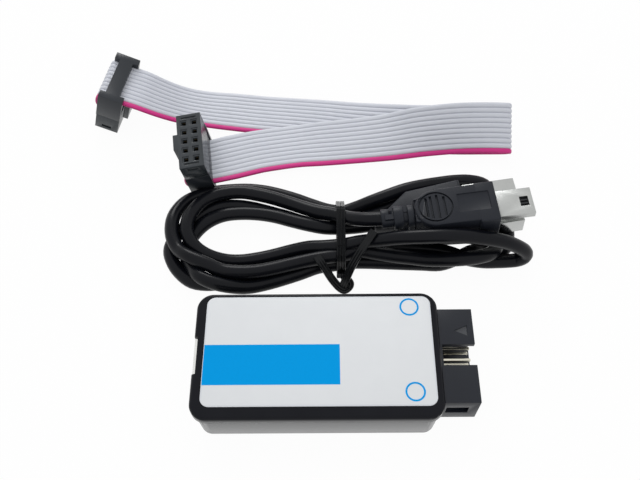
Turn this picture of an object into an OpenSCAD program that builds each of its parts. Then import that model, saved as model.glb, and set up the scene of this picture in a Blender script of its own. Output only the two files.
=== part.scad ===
// A small USB programmer for microcontrollers: a two-part case with a label, a board,
// a 2x5 box header and a mini USB socket, with its tied USB lead and its 10-way ribbon.
// Millimetres. +Z up, +X towards the header, +Y away from the viewer.
// The origin is on the table under the middle of the case.

/* [Case] */
// Length of the lid, along X
case_l = 50.2; // [48:0.2:58]
// Width of the lid, along Y
case_w = 27.2; // [26.8:0.2:36]
// Height of the closed case, without its label
case_h = 12.8; // [12.6:0.1:16]
// Radius of the lid's corners, seen from above
corner_r = 3.4; // [2.6:0.1:4.6]
// Radius of the lid's top edge
edge_r = 0.9; // [0.4:0.1:1.2]
// Height of the lid's skirt
skirt_h = 2.6; // [2.2:0.1:3]
// Thickness of the lid's side walls
lid_wall = 1.3; // [1:0.1:1.5]
// Thickness of the lid's roof
roof_t = 0.8; // [0.6:0.1:1.4]
// How far the base stands back under the lid
base_inset = 0.5; // [0.2:0.1:0.8]
// How much further in the base is at the floor
base_draft = 0.4; // [0:0.1:0.6]
// Thickness of the base's side walls
base_wall = 1.5; // [1.4:0.1:2]
// Thickness of the base's floor
floor_t = 1.2; // [0.8:0.1:1.8]
// Height of the lip that centres the lid
lip_h = 1.0; // [0.6:0.1:1.4]
// Clearance between the lip and the lid
lip_gap = 0.15; // [0.05:0.05:0.3]
// Diameter of the pillars that hold the board
pillar_d = 4.0; // [3.4:0.1:4.6]
// Diameter of the pins under the lid
peg_d = 1.7; // [1.3:0.1:1.9]
// Distance of the pillars from the middle, along Y
pillar_y = 8.7; // [7.5:0.1:9.2]

/* [Label] */
// Length of the label
label_l = 46.5; // [40:0.5:47]
// Width of the label
label_w = 23.7; // [18:0.1:24]
// Thickness of the label
label_t = 0.2; // [0.1:0.05:0.4]
// Radius of the label's corners
label_r = 1.8; // [0.5:0.1:3]
// Diameter of the light holes under the label
light_d = 3.0; // [2:0.1:3.4]

/* [Board] */
// Thickness of the board
board_t = 1.6; // [1.2:0.1:1.8]
// Clearance between the board and the case
board_gap = 0.2; // [0.1:0.05:0.4]
// Body of the microcontroller, side to side
chip_l = 7.0; // [5:0.5:8]
// Thickness of the microcontroller's body
chip_t = 1.4; // [1:0.1:1.6]
// Distance of the two lights from the middle, along X
light_x = 19.2; // [18:0.1:20]
// Length of the crystal's can
crystal_l = 5.0; // [3.2:0.1:5.2]
// Width of the crystal's can
crystal_w = 3.2; // [2.5:0.1:3.4]
// Height of the crystal's can
crystal_t = 1.1; // [0.8:0.1:1.3]
// Length of the voltage regulator's body
regulator_l = 6.5; // [5:0.1:6.7]
// Width of the voltage regulator's body
regulator_w = 3.5; // [3:0.1:3.7]
// Height of the voltage regulator's body
regulator_t = 1.6; // [1.2:0.1:1.8]
// Length of a small resistor or capacitor
small_l = 1.6; // [1:0.1:2]
// Width of a small resistor or capacitor
small_w = 0.85; // [0.5:0.05:1]
// Height of a resistor
resistor_t = 0.5; // [0.3:0.05:0.6]
// Height of a capacitor
capacitor_t = 0.8; // [0.4:0.05:0.9]

/* [Header] */
// Pitch of the header's pins
pitch = 2.54; // [2.54:0.01:2.54]
// Height of the header's housing, along Z
header_h = 8.8; // [8.4:0.1:9]
// Depth of the header's housing, along X
header_d = 9.0; // [8.6:0.1:9.6]
// Distance from an end pin to the end of the housing
header_end = 5.08; // [4.6:0.02:5.4]
// Thickness of the housing's long walls
header_wall = 1.2; // [0.9:0.1:1.4]
// Thickness of the housing's end walls
header_end_wall = 1.16; // [0.9:0.02:1.4]
// Thickness of the housing's back wall
header_back = 2.5; // [2:0.1:3]
// How far the header stands out of the lid
header_out = 7.2; // [7.2:0.1:7.6]
// Width of the key notch
notch_w = 4.5; // [4:0.1:5]
// Side of a square pin
pin_a = 0.64; // [0.5:0.02:0.7]
// Length of a pin above the back wall
pin_out = 5.8; // [4:0.1:6]

/* [USB socket] */
// Width of the mini socket's shell
socket_w = 7.7; // [7.4:0.1:8]
// Height of the mini socket's shell
socket_h = 3.9; // [3.7:0.1:4.1]
// Length of the mini socket's shell
socket_l = 9.2; // [8.6:0.1:10]
// Thickness of stamped sheet metal
sheet = 0.3; // [0.2:0.05:0.4]
// Place of the mini socket along Y
socket_y = -0.2; // [-0.6:0.1:0.6]

/* [USB plugs] */
// Width of the mini plug's shell
mini_w = 6.8; // [6.6:0.1:7]
// Height of the mini plug's shell
mini_h = 3.0; // [2.9:0.1:3.2]
// Length of the mini plug's shell
mini_l = 8.1; // [7.6:0.1:9]
// Width of the mini plug's grip
mini_grip_w = 9.8; // [9.2:0.1:10.6]
// Thickness of the mini plug's grip
mini_grip_t = 7.0; // [6.4:0.1:7.2]
// Radius of the mini plug's round thumb pad
thumb_r = 5.4; // [5:0.1:6]
// Width of the large plug's shell
plug_w = 12.0; // [11.8:0.1:12.2]
// Height of the large plug's shell
plug_h = 4.5; // [4.3:0.1:4.7]
// Length of the large plug's shell
plug_l = 12.3; // [11.7:0.1:13]
// Width of the large plug's grip at its front
plug_grip_w = 14.6; // [13.4:0.1:15.4]
// Thickness of the large plug's grip
plug_grip_t = 7.4; // [7:0.1:7.4]

/* [Cables] */
// Diameter of the USB cable
cable_d = 3.3; // [3:0.1:3.5]
// Width of the ribbon
ribbon_w = 12.6; // [12:0.1:12.7]
// Thickness of the ribbon
ribbon_t = 0.9; // [0.7:0.05:1]

/* [Ribbon sockets] */
// Length of a ribbon socket
idc_l = 14.9; // [14.7:0.1:15.4]
// Width of a ribbon socket
idc_w = 5.9; // [5.7:0.1:6.1]
// Height of a ribbon socket's body
idc_h = 6.8; // [6.4:0.1:7.2]
// Height of the cover that presses the ribbon down
idc_cover_h = 2.9; // [2.4:0.1:3.2]
// Thickness of the strain relief's strap
strap_t = 1.5; // [1.2:0.1:1.7]
// Width of the strain relief's strap
strap_w = 3.4; // [2.8:0.1:4.2]
// Thickness of the strain relief's arms
arm_t = 1.0; // [0.8:0.05:1]

/* [Hidden] */
$fn = 48;
eps = 0.01;

// Colours, as the photograph shows them
black_plastic = "#15171a";
grey_black = "#26292d";
bright_metal = "#c9cac6";
gold = "#c8a24a";
cable_black = "#121416";
ribbon_grey = "#c3c7d2";

// ---- Derived sizes of the case ----
parting_z = case_h - skirt_h;
base_l = case_l - 2 * base_inset;
base_w = case_w - 2 * base_inset;
base_r = corner_r - base_inset;
hollow_l = base_l - 2 * base_wall;
hollow_w = base_w - 2 * base_wall;
hollow_r = max(0.6, base_r - base_wall);
lip_l = case_l - 2 * (lid_wall + lip_gap);
lip_w = case_w - 2 * (lid_wall + lip_gap);
lip_r = corner_r - lid_wall - lip_gap;
roof_z = case_h - roof_t;
label_x = 0.35;
label_y = 0.65;

// ---- Derived sizes of the mini USB socket ----
socket_x = -case_l / 2 + 0.1;
socket_gap = 0.25;
parts_x = socket_x + socket_l + 3.3;

// ---- Derived sizes of the board and what sits on it ----
socket_roof_gap = 0.2;
board_top = roof_z - socket_roof_gap - socket_h;
board_z = board_top - board_t;
board_l = hollow_l - 2 * board_gap;
board_w = hollow_w - 2 * board_gap;
board_mid = board_z + board_t / 2;
pillar_left = -18.6;
pillar_right = 12;
pillars = [for (x = [pillar_left, pillar_right], y = [-pillar_y, pillar_y]) [x, y]];
peg_gap = 0.15;
peg_reach = 2;
clamp_gap = 0.1;
light_far_y = case_w / 2 - 3.6;
light_near_y = 5.3 - case_w / 2;
light_l = 2;
light_w = 1.2;
light_base_t = 0.4;
// How far the regulator's middle lies inside the board's far edge
regulator_in = 4.8;
// The resistors beside each light, and the others
beside_light = 3.6;
far_resistors = [-3.4, -1.8];
near_resistors = [3.1, 1.5];
other_resistors = [[6, -7.4], [8.4, -7.4], [parts_x, -2], [parts_x, -3.8]];
capacitors = [[-8.2, -4.4], [-8.2, -6], [3.6, 6.2], [3.6, 7.6], [11.4, 2.4], [-5.2, 7], [2, -7.2]];

// ---- Derived sizes of the header ----
pins_n = 5;
header_l = (pins_n - 1) * pitch + 2 * header_end;
header_mouth = case_l / 2 + header_out;
header_x = header_mouth - header_d;
header_z = board_mid - header_h / 2;
cavity_x = header_x + header_back;
pin_tail = 3.1;
solder_t = pitch / 2 - pin_a / 2 - board_t / 2;
cut_gap = 0.15;
pad_l = 2.6;
pad_w = 1.5;

// ---- Plugs: where their tips are, and how they lean ----
mini_at = [48.2, 35.1, 13.9];
mini_yaw = 4.5;
plug_at = [47.3, 40, 6.4];
plug_yaw = 6;
plug_pitch = 5;

// ---- Ribbon sockets: heights in their own frame, mating face at zero ----
idc_cover_z = idc_h + ribbon_t;
idc_top_ribbon = idc_cover_z + idc_cover_h;
idc_strap_z = idc_top_ribbon + ribbon_t + 0.1;
idc_height = idc_strap_z + strap_t;
idc_arm_gap = 0.05;
idc_arm_z = 5.2;
idc_inner_l = idc_l - 2 * arm_t;
hole_a = 1.1;
hole_deep = 5.6;
socket_a_at = [-51, 74.5, 0.4];
socket_a_turn = [0, 19, -11];
socket_b_at = [-28.9, 55.2, 1.2];
socket_b_turn = [6, -6, 7];

// ---- Hank: height of its solid, and the neck under the tie ----
hank_h = 2 * cable_d;
tie_x = 5.5;
tie_w = 2.4;
tie_t = 0.9;
// Outline of the bundle under the tie: y, z
neck = [[24.9, tie_t], [24.9, 5.2], [25.7, 6.2], [29.6, 7.4], [35.4, 8.8], [37.2, 8.8],
        [38.2, 8], [42.6, 2.9], [43, 1.8], [43, tie_t]];
// Where the tie's ends twist together: y, z
twist_at = [22.8, 2.8];
twist_d = 2;
tie_end_d = 1.4;
// The left end, which curls under the twist, and the right end
tie_left = [[0, 25.3, 7.9], [0.9, 23.9, 7.5], [2, 23, 5.6], [3.3, 22, 3.2], [4.9, 20.8, 1.5],
            [6.1, 20.3, 1], [7.1, 20.9, 1], [7.5, 21.8, 1.2], [6.8, 22.5, 2.1], [6, 22.7, 3.2]];
tie_right = [[5.9, 21.1, 1.6], [6.5, 21.8, 3.4], [7.8, 23.5, 6.4], [9.2, 25.2, 8.4],
             [10.5, 26.8, 9.8], [12.8, 29.9, 11]];

// Route of the mini plug's tail, from the hank to the strain relief
mini_tail = [[9.8, 33.4, 5], [11, 33.2, 6], [12, 32.9, 7.6], [13, 32.6, 9.4], [14.2, 32.4, 10.7]];
// Route of the large plug's tail
plug_tail = [[9.8, 37.4, 4.2], [11, 37, 3.9], [12.2, 36.6, 3.6], [13.6, 36.5, 3.5]];

// Route of the ribbon's middle: x, y, z, then the tilt and the turn of its width
ribbon_route = [
    [-47.3, 73.8, 10.8, 0, 11], [-44.2, 73.3, 9.7, 0, 9], [-39.4, 73.4, 6.4, -1, 4],
    [-34.6, 73.8, 3.5, -2, 0], [-29, 74, 1.7, -2, -3], [-22, 73.6, 1.0, 0, -3],
    [-15, 72.7, 0.9, 0, -2], [-7, 71.8, 0.9, 1, -1], [0.7, 70.7, 1.1, 3, 0],
    [9, 69, 1.6, 7, 1], [17, 67.3, 2.4, 12, 1], [26, 65.4, 3.4, 21, 0],
    [34.3, 64.3, 4.2, 29, 0], [42.7, 64.1, 4.4, 33, 0], [47.2, 64.1, 4.4, 34, 0],
    [48.3, 63.9, 4.8, 34, 0], [48.7, 63.3, 5.6, 34, 0], [48.3, 62.7, 6.5, 34, 0],
    [47.2, 62.5, 6.9, 34, 0], [43, 62.4, 7.2, 34, 0], [38, 62.2, 7.4, 36, 0],
    [33, 62, 7.3, 36, 0], [26, 62, 6.3, 30, 0], [21, 61.9, 5.2, 22, 0],
    [16, 61.8, 4.2, 15, 0], [8, 61.4, 3.5, 11, 0], [0.7, 61, 3.1, 9, 0],
    [-4.4, 60.8, 2.6, 5, 0], [-10, 60.1, 2.4, 4, -2], [-15, 58.9, 2.8, 4, -4],
    [-19.7, 57.2, 3.4, 5, -6], [-23.2, 55.9, 3.8, 6, -7.5], [-26, 55.3, 3.6, 6, -7.6]];

// ---- Tools ----
function arc(cx, cy, r, a0, a1, n = 6) =
    [for (i = [0 : n]) let (a = a0 + (a1 - a0) * i / n) [cx + r * cos(a), cy + r * sin(a)]];
function unit(v) = v / norm(v);
function seg(p, i) = p[min(i + 1, len(p) - 1)] - p[max(i - 1, 0)];

// A block with rounded corners, whose side follows a profile of [radius, height] points
module rounded_block(l, w, r, profile) {
    half = [l / 2 - r, w / 2 - r];
    mirrored = [for (i = [len(profile) - 1 : -1 : 0]) [-profile[i][0] - half[1], profile[i][1]]];
    for (sx = [0, 1], sy = [0, 1])
        mirror([sx, 0, 0]) mirror([0, sy, 0]) translate([half[0], half[1], 0])
            rotate_extrude(angle = 90) polygon(profile);
    rotate([90, 0, 90]) translate([0, 0, -half[0]]) linear_extrude(2 * half[0])
        polygon(concat([for (p = profile) [p[0] + half[1], p[1]]], mirrored));
    for (s = [0, 1])
        mirror([s, 0, 0]) translate([half[0], half[1], 0]) rotate([90, 0, 0])
            linear_extrude(2 * half[1]) polygon(profile);
}

// The profile of a block with plain sides
function straight(r, z0, z1) = [[0, z0], [r, z0], [r, z1], [0, z1]];
// The profile of a block with rounded edges above and below
function soft(r, z0, z1, e) =
    concat([[0, z0]], arc(r - e, z0 + e, e, -90, 0), arc(r - e, z1 - e, e, 0, 90), [[0, z1]]);

// A box centred on X and Y
module block(size, at = [0, 0, 0]) {
    translate([at[0] - size[0] / 2, at[1] - size[1] / 2, at[2]]) cube(size);
}

// A tube swept along points
module cord(points, d, sides = 8) {
    rings = [for (i = [0 : len(points) - 1])
        let (t = unit(seg(points, i)), a = unit(cross(t, [0.1, 0.2, 1])), b = cross(t, a))
        for (k = [0 : sides - 1])
            points[i] + d / 2 * (cos(360 * k / sides) * a + sin(360 * k / sides) * b)];
    last = (len(points) - 1) * sides;
    polyhedron(rings, concat(
        [[for (k = [0 : sides - 1]) k]],
        [[for (k = [sides - 1 : -1 : 0]) last + k]],
        [for (i = [0 : len(points) - 2], k = [0 : sides - 1])
            let (a = i * sides + k, b = i * sides + (k + 1) % sides)
            [a, a + sides, b + sides, b]]));
}

// ---- Case ----
module each_pillar_rod(d, z0, z1) {
    for (p = pillars) translate([p[0], p[1], z0]) cylinder(d = d, h = z1 - z0);
}

module header_cut(z0, z1) {
    block([case_l / 2, header_l + 2 * cut_gap, z1 - z0], [header_x + case_l / 4 - 0.3, 0, z0]);
}

module socket_cut(z0, z1, depth = lid_wall + base_inset + base_wall) {
    block([depth, socket_w + 2 * socket_gap, z1 - z0],
          [-case_l / 2 + depth / 2 - eps, socket_y, z0]);
}

module bottom_shell() color(black_plastic) {
    foot = 0.6;
    low_r = base_r - base_draft;
    difference() {
        union() {
            difference() {
                union() {
                    rounded_block(base_l, base_w, base_r,
                        concat([[0, 0]], arc(low_r - foot, foot, foot, -90, 0, 4),
                               [[base_r, parting_z], [0, parting_z]]));
                    rounded_block(lip_l, lip_w, lip_r,
                        straight(lip_r, parting_z - 1, parting_z + lip_h));
                }
                rounded_block(hollow_l, hollow_w, hollow_r,
                    straight(hollow_r, floor_t, parting_z + lip_h + 1));
            }
            each_pillar_rod(pillar_d, floor_t - 0.2, board_z);
        }
        each_pillar_rod(peg_d + 2 * peg_gap, floor_t, board_z + 1);
        header_cut(header_z - cut_gap, case_h);
        socket_cut(board_top - socket_gap, case_h);
    }
}

module top_shell() color(black_plastic) {
    in_r = corner_r - lid_wall;
    difference() {
        rounded_block(case_l, case_w, corner_r,
            concat([[0, parting_z], [corner_r, parting_z]],
                   arc(corner_r - edge_r, case_h - edge_r, edge_r, 0, 90), [[0, case_h]]));
        rounded_block(case_l - 2 * lid_wall, case_w - 2 * lid_wall, in_r,
            straight(in_r, parting_z - 1, roof_z));
        for (y = [light_near_y, light_far_y])
            translate([light_x, y, roof_z - 1]) cylinder(d = light_d, h = roof_t + 2);
        header_cut(parting_z - 1, header_z + header_h + cut_gap);
        socket_cut(parting_z - 1, roof_z + socket_roof_gap);
        // The cut-out goes up through the rounded edge
        socket_cut(roof_z, case_h + 1, edge_r - 0.1);
    }
    for (p = pillars) translate([p[0], p[1], 0]) {
        translate([0, 0, board_top + clamp_gap])
            cylinder(d = pillar_d, h = roof_z - board_top - clamp_gap);
        translate([0, 0, board_z - peg_reach]) cylinder(d = peg_d, h = roof_z - board_z + peg_reach);
    }
}

module label_plate() color("#e9eef2")
    translate([label_x, label_y, 0])
        rounded_block(label_l, label_w, label_r, straight(label_r, case_h, case_h + label_t));

// ---- Board ----
module circuit_board() color("#14603a") {
    difference() {
        rounded_block(board_l, board_w, hollow_r, straight(hollow_r, board_z, board_top));
        each_pillar_rod(peg_d + 4 * peg_gap, board_z - 1, board_top + 1);
    }
    for (i = [0 : pins_n - 1], z = [board_z - solder_t, board_top])
        block([pad_l, pad_w, solder_t],
              [board_l / 2 - pad_l / 2, (i - (pins_n - 1) / 2) * pitch, z]);
}

module chip(size, at, legs = 0) {
    block(size, [at[0], at[1], board_top + legs]);
}

chip_at = [-1.5, 0.6];
chip_lift = 0.1;
lead_w = 0.35;
lead_pitch = 0.8;
module microcontroller_chip() color("#1c1c1e") difference() {
    chip([chip_l, chip_l, chip_t], chip_at, chip_lift);
    translate([chip_at[0] - chip_l / 2 + 1, chip_at[1] + chip_l / 2 - 1,
               board_top + chip_lift + chip_t - 0.1])
        cylinder(d = 0.9, h = 1);
}

module microcontroller_leads() color(bright_metal) {
    out = 1.0;
    shin = 0.2;
    for (side = [0 : 3], i = [0 : 7])
        translate([chip_at[0], chip_at[1], board_top]) rotate([0, 0, 90 * side])
            translate([chip_l / 2, (i - 3.5) * lead_pitch - lead_w / 2, 0])
                rotate([90, 0, 0]) mirror([0, 0, 1]) linear_extrude(lead_w)
                    polygon([[0, chip_lift + 0.5], [0.35, chip_lift + 0.5], [0.55, 0],
                             [out, 0], [out, shin], [0.7, shin], [0.5, chip_lift + 0.5 + shin],
                             [0, chip_lift + 0.5 + shin]]);
}

module crystal_can() color(bright_metal) {
    rim = 0.3;
    at = [pillar_right - 4.6, 5.4];
    chip([crystal_l, crystal_w, crystal_t - 0.2], at);
    chip([crystal_l - 2 * rim, crystal_w - 2 * rim, crystal_t], at);
}

module voltage_regulator() color("#1f1f21") {
    at = [parts_x + 2, board_w / 2 - regulator_in];
    leg = 1.8;
    leg_x = regulator_w / 2 + leg / 2 - 0.05;
    chip([regulator_w, regulator_l, regulator_t], at, chip_lift);
    for (i = [-1 : 1]) chip([leg, 0.7, 0.25], [at[0] + leg_x, at[1] + i * 2.3]);
    chip([leg, 3, 0.25], [at[0] - leg_x, at[1]]);
}

module light(at) {
    chip([light_w, light_l, light_base_t], at);
    translate([at[0], at[1], board_top + light_base_t]) cylinder(d = light_w - 0.1, h = 0.5);
}
module power_led() color("#c9e3c2") light([light_x, light_far_y]);
module activity_led() color("#e3c2c2") light([light_x, light_near_y]);

module chip_resistors() color("#2a2a2c")
    for (p = concat([for (y = far_resistors) [light_x - beside_light, light_far_y + y]],
                    [for (y = near_resistors) [light_x - beside_light, light_near_y + y]],
                    other_resistors))
        chip([small_l, small_w, resistor_t], p);

module chip_capacitors() color("#b59c76")
    for (p = capacitors) chip([small_l, small_w, capacitor_t], p);

// ---- Mini USB socket on the board ----
// Outline of a mini USB shell: full width above, narrower below
function mini_outline(w, h, step) =
    [[-w / 2, h / 2], [-w / 2, h / 2 - 0.55 * h], [-w / 2 + step, -h / 2 + 0.15 * h],
     [-w / 2 + step, -h / 2], [w / 2 - step, -h / 2], [w / 2 - step, -h / 2 + 0.15 * h],
     [w / 2, h / 2 - 0.55 * h], [w / 2, h / 2]];

// A piece extruded along X from x0 to x1, with its outline in the YZ plane
module along_x(x0, x1) {
    translate([x0, 0, 0]) rotate([90, 0, 90]) linear_extrude(x1 - x0) children();
}

socket_mid = board_top + socket_h / 2;
module at_socket() translate([socket_x, socket_y, socket_mid]) children();
socket_step = 0.9;
wall_depth = base_inset + base_wall - 0.1;
foot_l = 1.6;
foot_w = 1.3;

module usb_receptacle_shell() color(bright_metal) at_socket() {
    difference() {
        along_x(0, socket_l) polygon(mini_outline(socket_w, socket_h, socket_step));
        along_x(-1, socket_l - sheet)
            polygon(mini_outline(socket_w - 2 * sheet, socket_h - 2 * sheet, socket_step));
        for (y = [-1.9, 1.9]) block([2.4, 1.2, 2 * sheet + 1], [3.4, y, socket_h / 2 - sheet - 0.5]);
    }
    // Four legs, bent outwards into feet that are soldered to the board
    for (x = [foot_l / 2 + wall_depth + 0.2, socket_l - foot_l / 2 - 0.4], s = [0, 1])
        mirror([0, s, 0]) translate([x, socket_w / 2 - sheet, -socket_h / 2]) {
            block([foot_l, sheet, socket_h / 2 + 0.2], [0, sheet / 2, 0]);
            block([foot_l, foot_w, sheet], [0, foot_w / 2, 0]);
        }
}

module usb_receptacle_tongue() color(grey_black) at_socket() {
    back = 2.6;
    tip = 1.6;
    inner_w = socket_w - 2 * sheet - 2 * socket_step;
    along_x(socket_l - sheet - back, socket_l - sheet)
        square([inner_w, socket_h - 2 * sheet], center = true);
    along_x(tip, socket_l - sheet - back) translate([0, -0.3]) square([4.8, 0.9], center = true);
}

module usb_receptacle_contacts() color(gold) at_socket()
    for (i = [-2 : 2]) {
        block([socket_l - 5.2, 0.35, 0.12], [(socket_l - 5.2) / 2 + 2, i * 0.8, 0.15]);
        block([1.2, 0.35, 0.2], [socket_l + 0.6, i * 0.8, -socket_h / 2]);
    }

// ---- Header ----
module key_triangle() translate([header_mouth - 4, 5.3, header_z + header_h - 0.35])
    linear_extrude(1) polygon([[0, 0], [2.7, 1.15], [2.7, -1.15]]);

module header_shroud() color(black_plastic) {
    cavity_l = header_l - 2 * header_end_wall;
    slot_l = 4.5;
    slot_h = 3;
    difference() {
        block([header_d, header_l, header_h], [header_x + header_d / 2, 0, header_z]);
        block([header_d, cavity_l, header_h - 2 * header_wall],
              [cavity_x + header_d / 2, 0, header_z + header_wall]);
        block([header_d, notch_w, header_wall + 1],
              [cavity_x - 0.3 + header_d / 2, 0, header_z + header_h - header_wall]);
        block([slot_l, header_l + 1, slot_h], [cavity_x + slot_l / 2, 0, board_mid - slot_h / 2]);
        key_triangle();
        each_pin() block([header_back + 1, pin_a, pin_a], [cavity_x - header_back / 2, 0, -pin_a / 2]);
    }
}

module each_pin()
    for (i = [0 : pins_n - 1], s = [-1, 1])
        translate([0, (i - (pins_n - 1) / 2) * pitch, board_mid + s * pitch / 2]) children();

module header_pins() color(gold) each_pin()
    block([pin_tail + header_back + pin_out, pin_a, pin_a],
          [header_x - pin_tail + (pin_tail + header_back + pin_out) / 2, 0, -pin_a / 2]);

// ---- USB lead: both plugs are drawn with the tip at zero and the cable towards -X ----
module at_mini() translate(mini_at) rotate([0, -plug_pitch, mini_yaw]) children();
module at_plug() translate(plug_at) rotate([0, -plug_pitch, plug_yaw]) children();
mini_step = 0.8;
window_x = -1.9;
window_l = 1.9;
window_w = 2.5;

module mini_plug_shell() color(bright_metal) at_mini() difference() {
    along_x(-mini_l, 0) polygon(mini_outline(mini_w, mini_h, mini_step));
    along_x(-mini_l - 1, 1)
        polygon(mini_outline(mini_w - 2 * sheet, mini_h - 2 * sheet, mini_step));
    block([window_l, window_w, 1], [window_x, 0, mini_h / 2 - 0.5]);
}

module mini_plug_insert() color("#101216") at_mini() difference() {
    along_x(-mini_l, -0.8) polygon(mini_outline(mini_w - 2 * sheet, mini_h - 2 * sheet, mini_step));
    // The slot that takes the socket's tongue
    block([6.4, 5, 1.1], [-0.8 - 3.2 + eps, 0, -0.85]);
    // Grooves that show through the window
    for (y = [-0.85, 0, 0.85]) block([window_l, 0.5, 1], [window_x, y, mini_h / 2 - sheet - 0.4]);
}

module mini_plug_contacts() color(gold) at_mini()
    for (i = [-2 : 2]) block([5.6, 0.35, 0.15], [-4.2, i * 0.8, 0.1]);

module mini_plug_overmold() color(cable_black) at_mini() {
    body_l = 14;
    pad_x = -22.2;
    difference() {
        union() {
            translate([-mini_l - body_l / 2, 0, 0])
                rounded_block(body_l, mini_grip_w, 1.2, soft(1.2, -mini_grip_t / 2, mini_grip_t / 2, 0.7));
            translate([pad_x, 0, 0])
                rotate_extrude() polygon(soft(thumb_r, -mini_grip_t / 2, mini_grip_t / 2, 0.9));
        }
        // Sunk panels on the top face
        block([7.6, 5.4, 1], [-12.7, 0, mini_grip_t / 2 - 0.25]);
        translate([pad_x, 0, mini_grip_t / 2 - 0.25]) difference() {
            cylinder(r = thumb_r - 1.1, h = 1);
            for (x = [-3, -1.2, 0.6, 2.4]) block([0.9, 2 * thumb_r, 2], [x, 0, -1]);
        }
    }
    // Ribbed strain relief
    along_x(-34.6, -26.5) circle(d = cable_d + 0.9);
    for (i = [0 : 2]) along_x(-29.3 - 2.5 * i, -27.9 - 2.5 * i) circle(d = 6.2 - 0.7 * i);
}

module usb_a_shell() color(bright_metal) at_plug() difference() {
    along_x(-plug_l, 0) square([plug_w, plug_h], center = true);
    along_x(-plug_l - 1, 1) square([plug_w - 2 * sheet, plug_h - 2 * sheet], center = true);
    for (y = [-3.2, 3.2]) block([2, 2.4, plug_h + 2], [-6.2, y, -plug_h / 2 - 1]);
}

module usb_a_tongue() color("#e8e8e4") at_plug() {
    inner = plug_h - 2 * sheet;
    along_x(-plug_l, -0.6) translate([0, -inner / 2 + 0.92])
        square([plug_w - 2 * sheet, 1.84], center = true);
    along_x(-plug_l, -9.6) square([plug_w - 2 * sheet, inner], center = true);
}

module usb_a_contacts() color(gold) at_plug()
    for (y = [-3.5, -1, 1, 3.5])
        block([7.6, 1, 0.15], [-5.4, y, -plug_h / 2 + sheet + 1.84]);

// One slice of the large plug's grip
module grip_slice(x, w, t, r = 1.6) {
    along_x(x - 0.1, x) for (sy = [-1, 1], sz = [-1, 1])
        translate([sy * (w / 2 - r), sz * (t / 2 - r)]) circle(r = r, $fn = 24);
}

module usb_a_overmold() color(cable_black) at_plug() {
    front = -plug_l;
    back = -26;
    throat = -33;
    hull() {
        grip_slice(front, plug_grip_w, plug_grip_t);
        grip_slice(back, plug_grip_w - 3.1, plug_grip_t);
    }
    hull() {
        grip_slice(back, plug_grip_w - 3.1, plug_grip_t);
        grip_slice(throat, 5, 5);
    }
    along_x(-34.2, throat) circle(d = cable_d + 1);
}

// ---- Cable ----
module hank_outline() {
    translate([-22.1, 33.6]) circle(r = 14.3);
    translate([-16, 42.6]) circle(r = 6.4);
    translate([-16, 25.2]) circle(r = 6.4);
    polygon([[-22, 19.3], [-16, 18.8], [-7, 21.3], [-1, 24], [tie_x, 25.2], [10, 25.2],
             [10, 43.7], [tie_x, 43.2], [-1, 45], [-7, 47.3], [-16, 49], [-22, 47.9]]);
}

module near_loop_outline() {
    polygon([[9, 25.2], [20, 24.7], [32, 23.3], [38, 24.4], [38, 31.1], [9, 31.1]]);
}

module loop_end_outline() {
    translate([46.2, 29.4]) circle(r = 4.8);
    polygon([[37, 24.4], [46.2, 24.6], [46.2, 34.2], [42, 33.4], [37, 31.1]]);
}

module far_strand_outline() {
    polygon([[9, 40.4], [17, 42.9], [26, 47], [33, 48.6], [39, 47.8], [42, 45.6], [42.2, 33],
             [45.6, 33], [45.4, 45.6], [42, 50.6], [36, 52], [30, 51.6], [23, 48.8], [9, 43.7]]);
}

module lead_hank() color(cable_black) {
    difference() {
        union() {
            linear_extrude(hank_h) hank_outline();
            linear_extrude(hank_h) near_loop_outline();
            linear_extrude(cable_d) loop_end_outline();
            linear_extrude(cable_d) far_strand_outline();
        }
        block([tie_w, 40, hank_h + 2], [tie_x, 32, -1]);
    }
    along_x(tie_x - tie_w / 2, tie_x + tie_w / 2) polygon(neck);
}

module mini_plug_tail() color(cable_black) cord(mini_tail, cable_d);
module usb_a_tail() color(cable_black) cord(plug_tail, cable_d);

// The bundle's outline with a layer of the tie round it
module neck_with(t) hull() for (p = neck) translate(p) circle(r = t, $fn = 16);

// One turn of the tie, drawn out to its twist
module tie_turn() difference() {
    union() {
        neck_with(tie_t);
        hull() {
            translate(twist_at) circle(d = twist_d, $fn = 16);
            translate([neck[0][0] - tie_t, 4]) square([tie_t, 1]);
            translate([neck[0][0] - tie_t, 1]) square([tie_t, 1]);
        }
    }
    polygon(neck);
}

module twist_tie() color("#0c0d0e") {
    groove = 0.1;
    turn_w = tie_w / 2 - groove - groove / 2;
    for (x = [tie_x - groove / 2 - turn_w, tie_x + groove / 2]) along_x(x, x + turn_w) tie_turn();
    // The turns meet under the groove and at the twist
    along_x(tie_x - groove, tie_x + groove) difference() {
        neck_with(tie_t - 0.3);
        polygon(neck);
    }
    translate([tie_x, twist_at[0], twist_at[1]]) sphere(d = twist_d, $fn = 16);
    cord(tie_left, tie_end_d);
    cord(tie_right, tie_end_d);
}

// ---- Ribbon ----
function ribbon_corner(i, side, up) =
    let (p = ribbon_route[i], t = unit([for (k = [0 : 2]) seg(ribbon_route, i)[k]]),
         w = [sin(p[4]) * cos(p[3]), cos(p[4]) * cos(p[3]), sin(p[3])], n = unit(cross(t, w)))
    [p[0], p[1], p[2]] + side * ribbon_w / 2 * w + up * ribbon_t / 2 * n;

module ribbon_free() {
    n = len(ribbon_route);
    points = [for (i = [0 : n - 1], c = [[-1, -1], [1, -1], [1, 1], [-1, 1]])
        ribbon_corner(i, c[0], c[1])];
    polyhedron(points, concat([[0, 1, 2, 3]],
        [[4 * n - 1, 4 * n - 2, 4 * n - 3, 4 * n - 4]],
        [for (i = [0 : n - 2], k = [0 : 3])
            [4 * i + k, 4 * i + 4 + k, 4 * i + 4 + (k + 1) % 4, 4 * i + (k + 1) % 4]]));
}

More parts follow.
